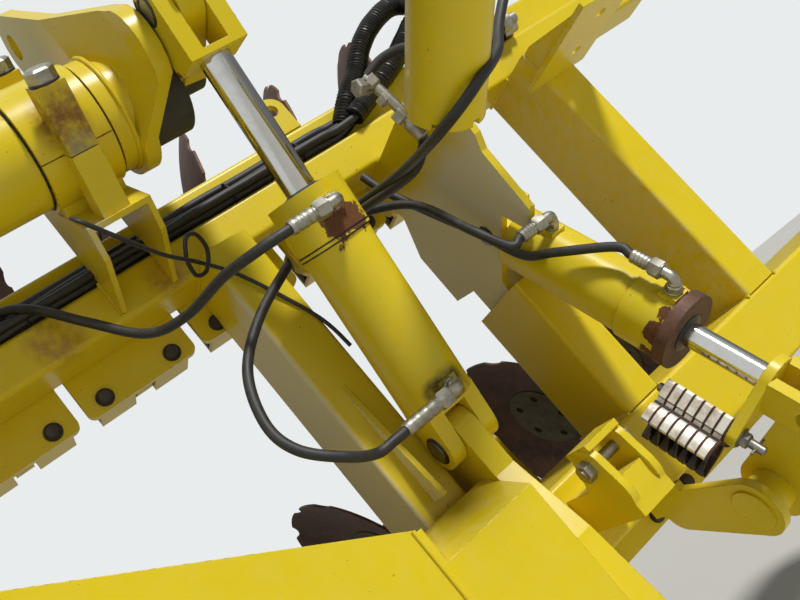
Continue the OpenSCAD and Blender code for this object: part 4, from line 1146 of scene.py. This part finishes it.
# two domed bolts hold each disc's mount, with a sleeve and a nut behind
mountBolts = {
    "front": 330, "apart": 84, "height": {"upper": -388, "lower": -1373},
    "head": [(20, 0), (20, 3), (17, 3.2), (17, 9), (13, 13), (5, 14)], "headSides": 32,
    "tail": [(14, 0), (14, 21), (18, 21.2), (18, 34), (11, 34.2), (11, 42)], "tailSides": 24,
}
bm = bmesh.new()
for row, height in mountBolts["height"].items():
    for i in range(1, discsPerRow + 1):
        middle = jointNamed(f"spin_{row}_{i}")["pos_m"][0] / mm
        for side in (-1, 1):
            foot = toMetres((middle + side * mountBolts["apart"], mountBolts["front"], height))
            lathe(bm, frameAlong(foot, (0, -1, 0)), mountBolts["head"], mountBolts["headSides"])
            lathe(bm, frameAlong(foot, (0, 1, 0)), mountBolts["tail"], mountBolts["tailSides"])
addPiece("mount_bolts", "wing_frame", bm, ["bolt"])
print("bolts are in")


# weld beads, laid in short overlapping ripples

beads = {"radius": 4.5, "pitch": 5.0, "depth": 0.9, "step": 2.5, "sides": 8}
armSeams = {"radius": 5, "rings": [(954, 116), (990, 104)], "count": 90}
# each seam's places along X, and the (y, z) that it runs between
frameSeams = [
    {"xs": (954, 1066, 1464, 1576, 1937, 2049), "from": (99, -1130), "to": (330, -1130)},
    {"xs": (954, 1066, 1937, 2049), "from": (200, -315), "to": (330, -315)},
    {"xs": (869,), "from": (-101, -995), "to": (-101, -1150)},
    {"xs": (774, 910), "from": (199, -214), "to": (199, -300)},
]
bootSeam = [(954, 99, -1130), (1066, 99, -1130)]


def weldBead(bm, points, radius=beads["radius"]):
    path = []
    for a, b in zip(points, points[1:]):
        a, b = toMetres(a), toMetres(b)
        count = max(2, int((b - a).length / (beads["step"] * mm)))
        path += [a.lerp(b, k / count) for k in range(count)]
    path.append(toMetres(points[-1]))
    sweep(bm, path, radius * mm, beads["sides"], ripple=ripples(beads))


bm = bmesh.new()
for x, radius in armSeams["rings"]:
    turns = [2 * math.pi * k / armSeams["count"] for k in range(armSeams["count"] + 1)]
    weldBead(bm, [(x, radius * math.cos(a), radius * math.sin(a)) for a in turns], armSeams["radius"])
addPiece("arm_welds", "carrier", bm, ["paint"], crease=80)
bm = bmesh.new()
for seam in frameSeams:
    for x in seam["xs"]:
        weldBead(bm, [(x, *seam["from"]), (x, *seam["to"])])
weldBead(bm, bootSeam)
addPiece("frame_welds", "wing_frame", bm, ["paint"], crease=80)
print("welds are laid")


# finish of every CAD node that shows as it is

nodeFinish = {
    "paint": ["torque_tube", "beam_rear", "beam_lower", "post_flange_side", "post_middle", "boot", "brace",
              "rocker_bracket", "mounts_upper", "mounts_lower", "arms_upper", "arms_lower", "rocker"],
    "paintCap": ["clamp_caps"],
    "paintSaddle": ["clamp_saddles"],
    "paintFrame": ["beam_front"],
    "paintChalkAndSheen": ["post_inner", "lift_bracket"],
    "paintPost": ["post_outer"],
    "pin": ["tilt_pin_core"],
    "cord": ["cords_upper", "cords_lower"],
}
for finish, names in nodeFinish.items():
    for name in names:
        for place in nodes[name].material_slots:
            place.material = finishes[finish]
print("CAD nodes are finished")

low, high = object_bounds()
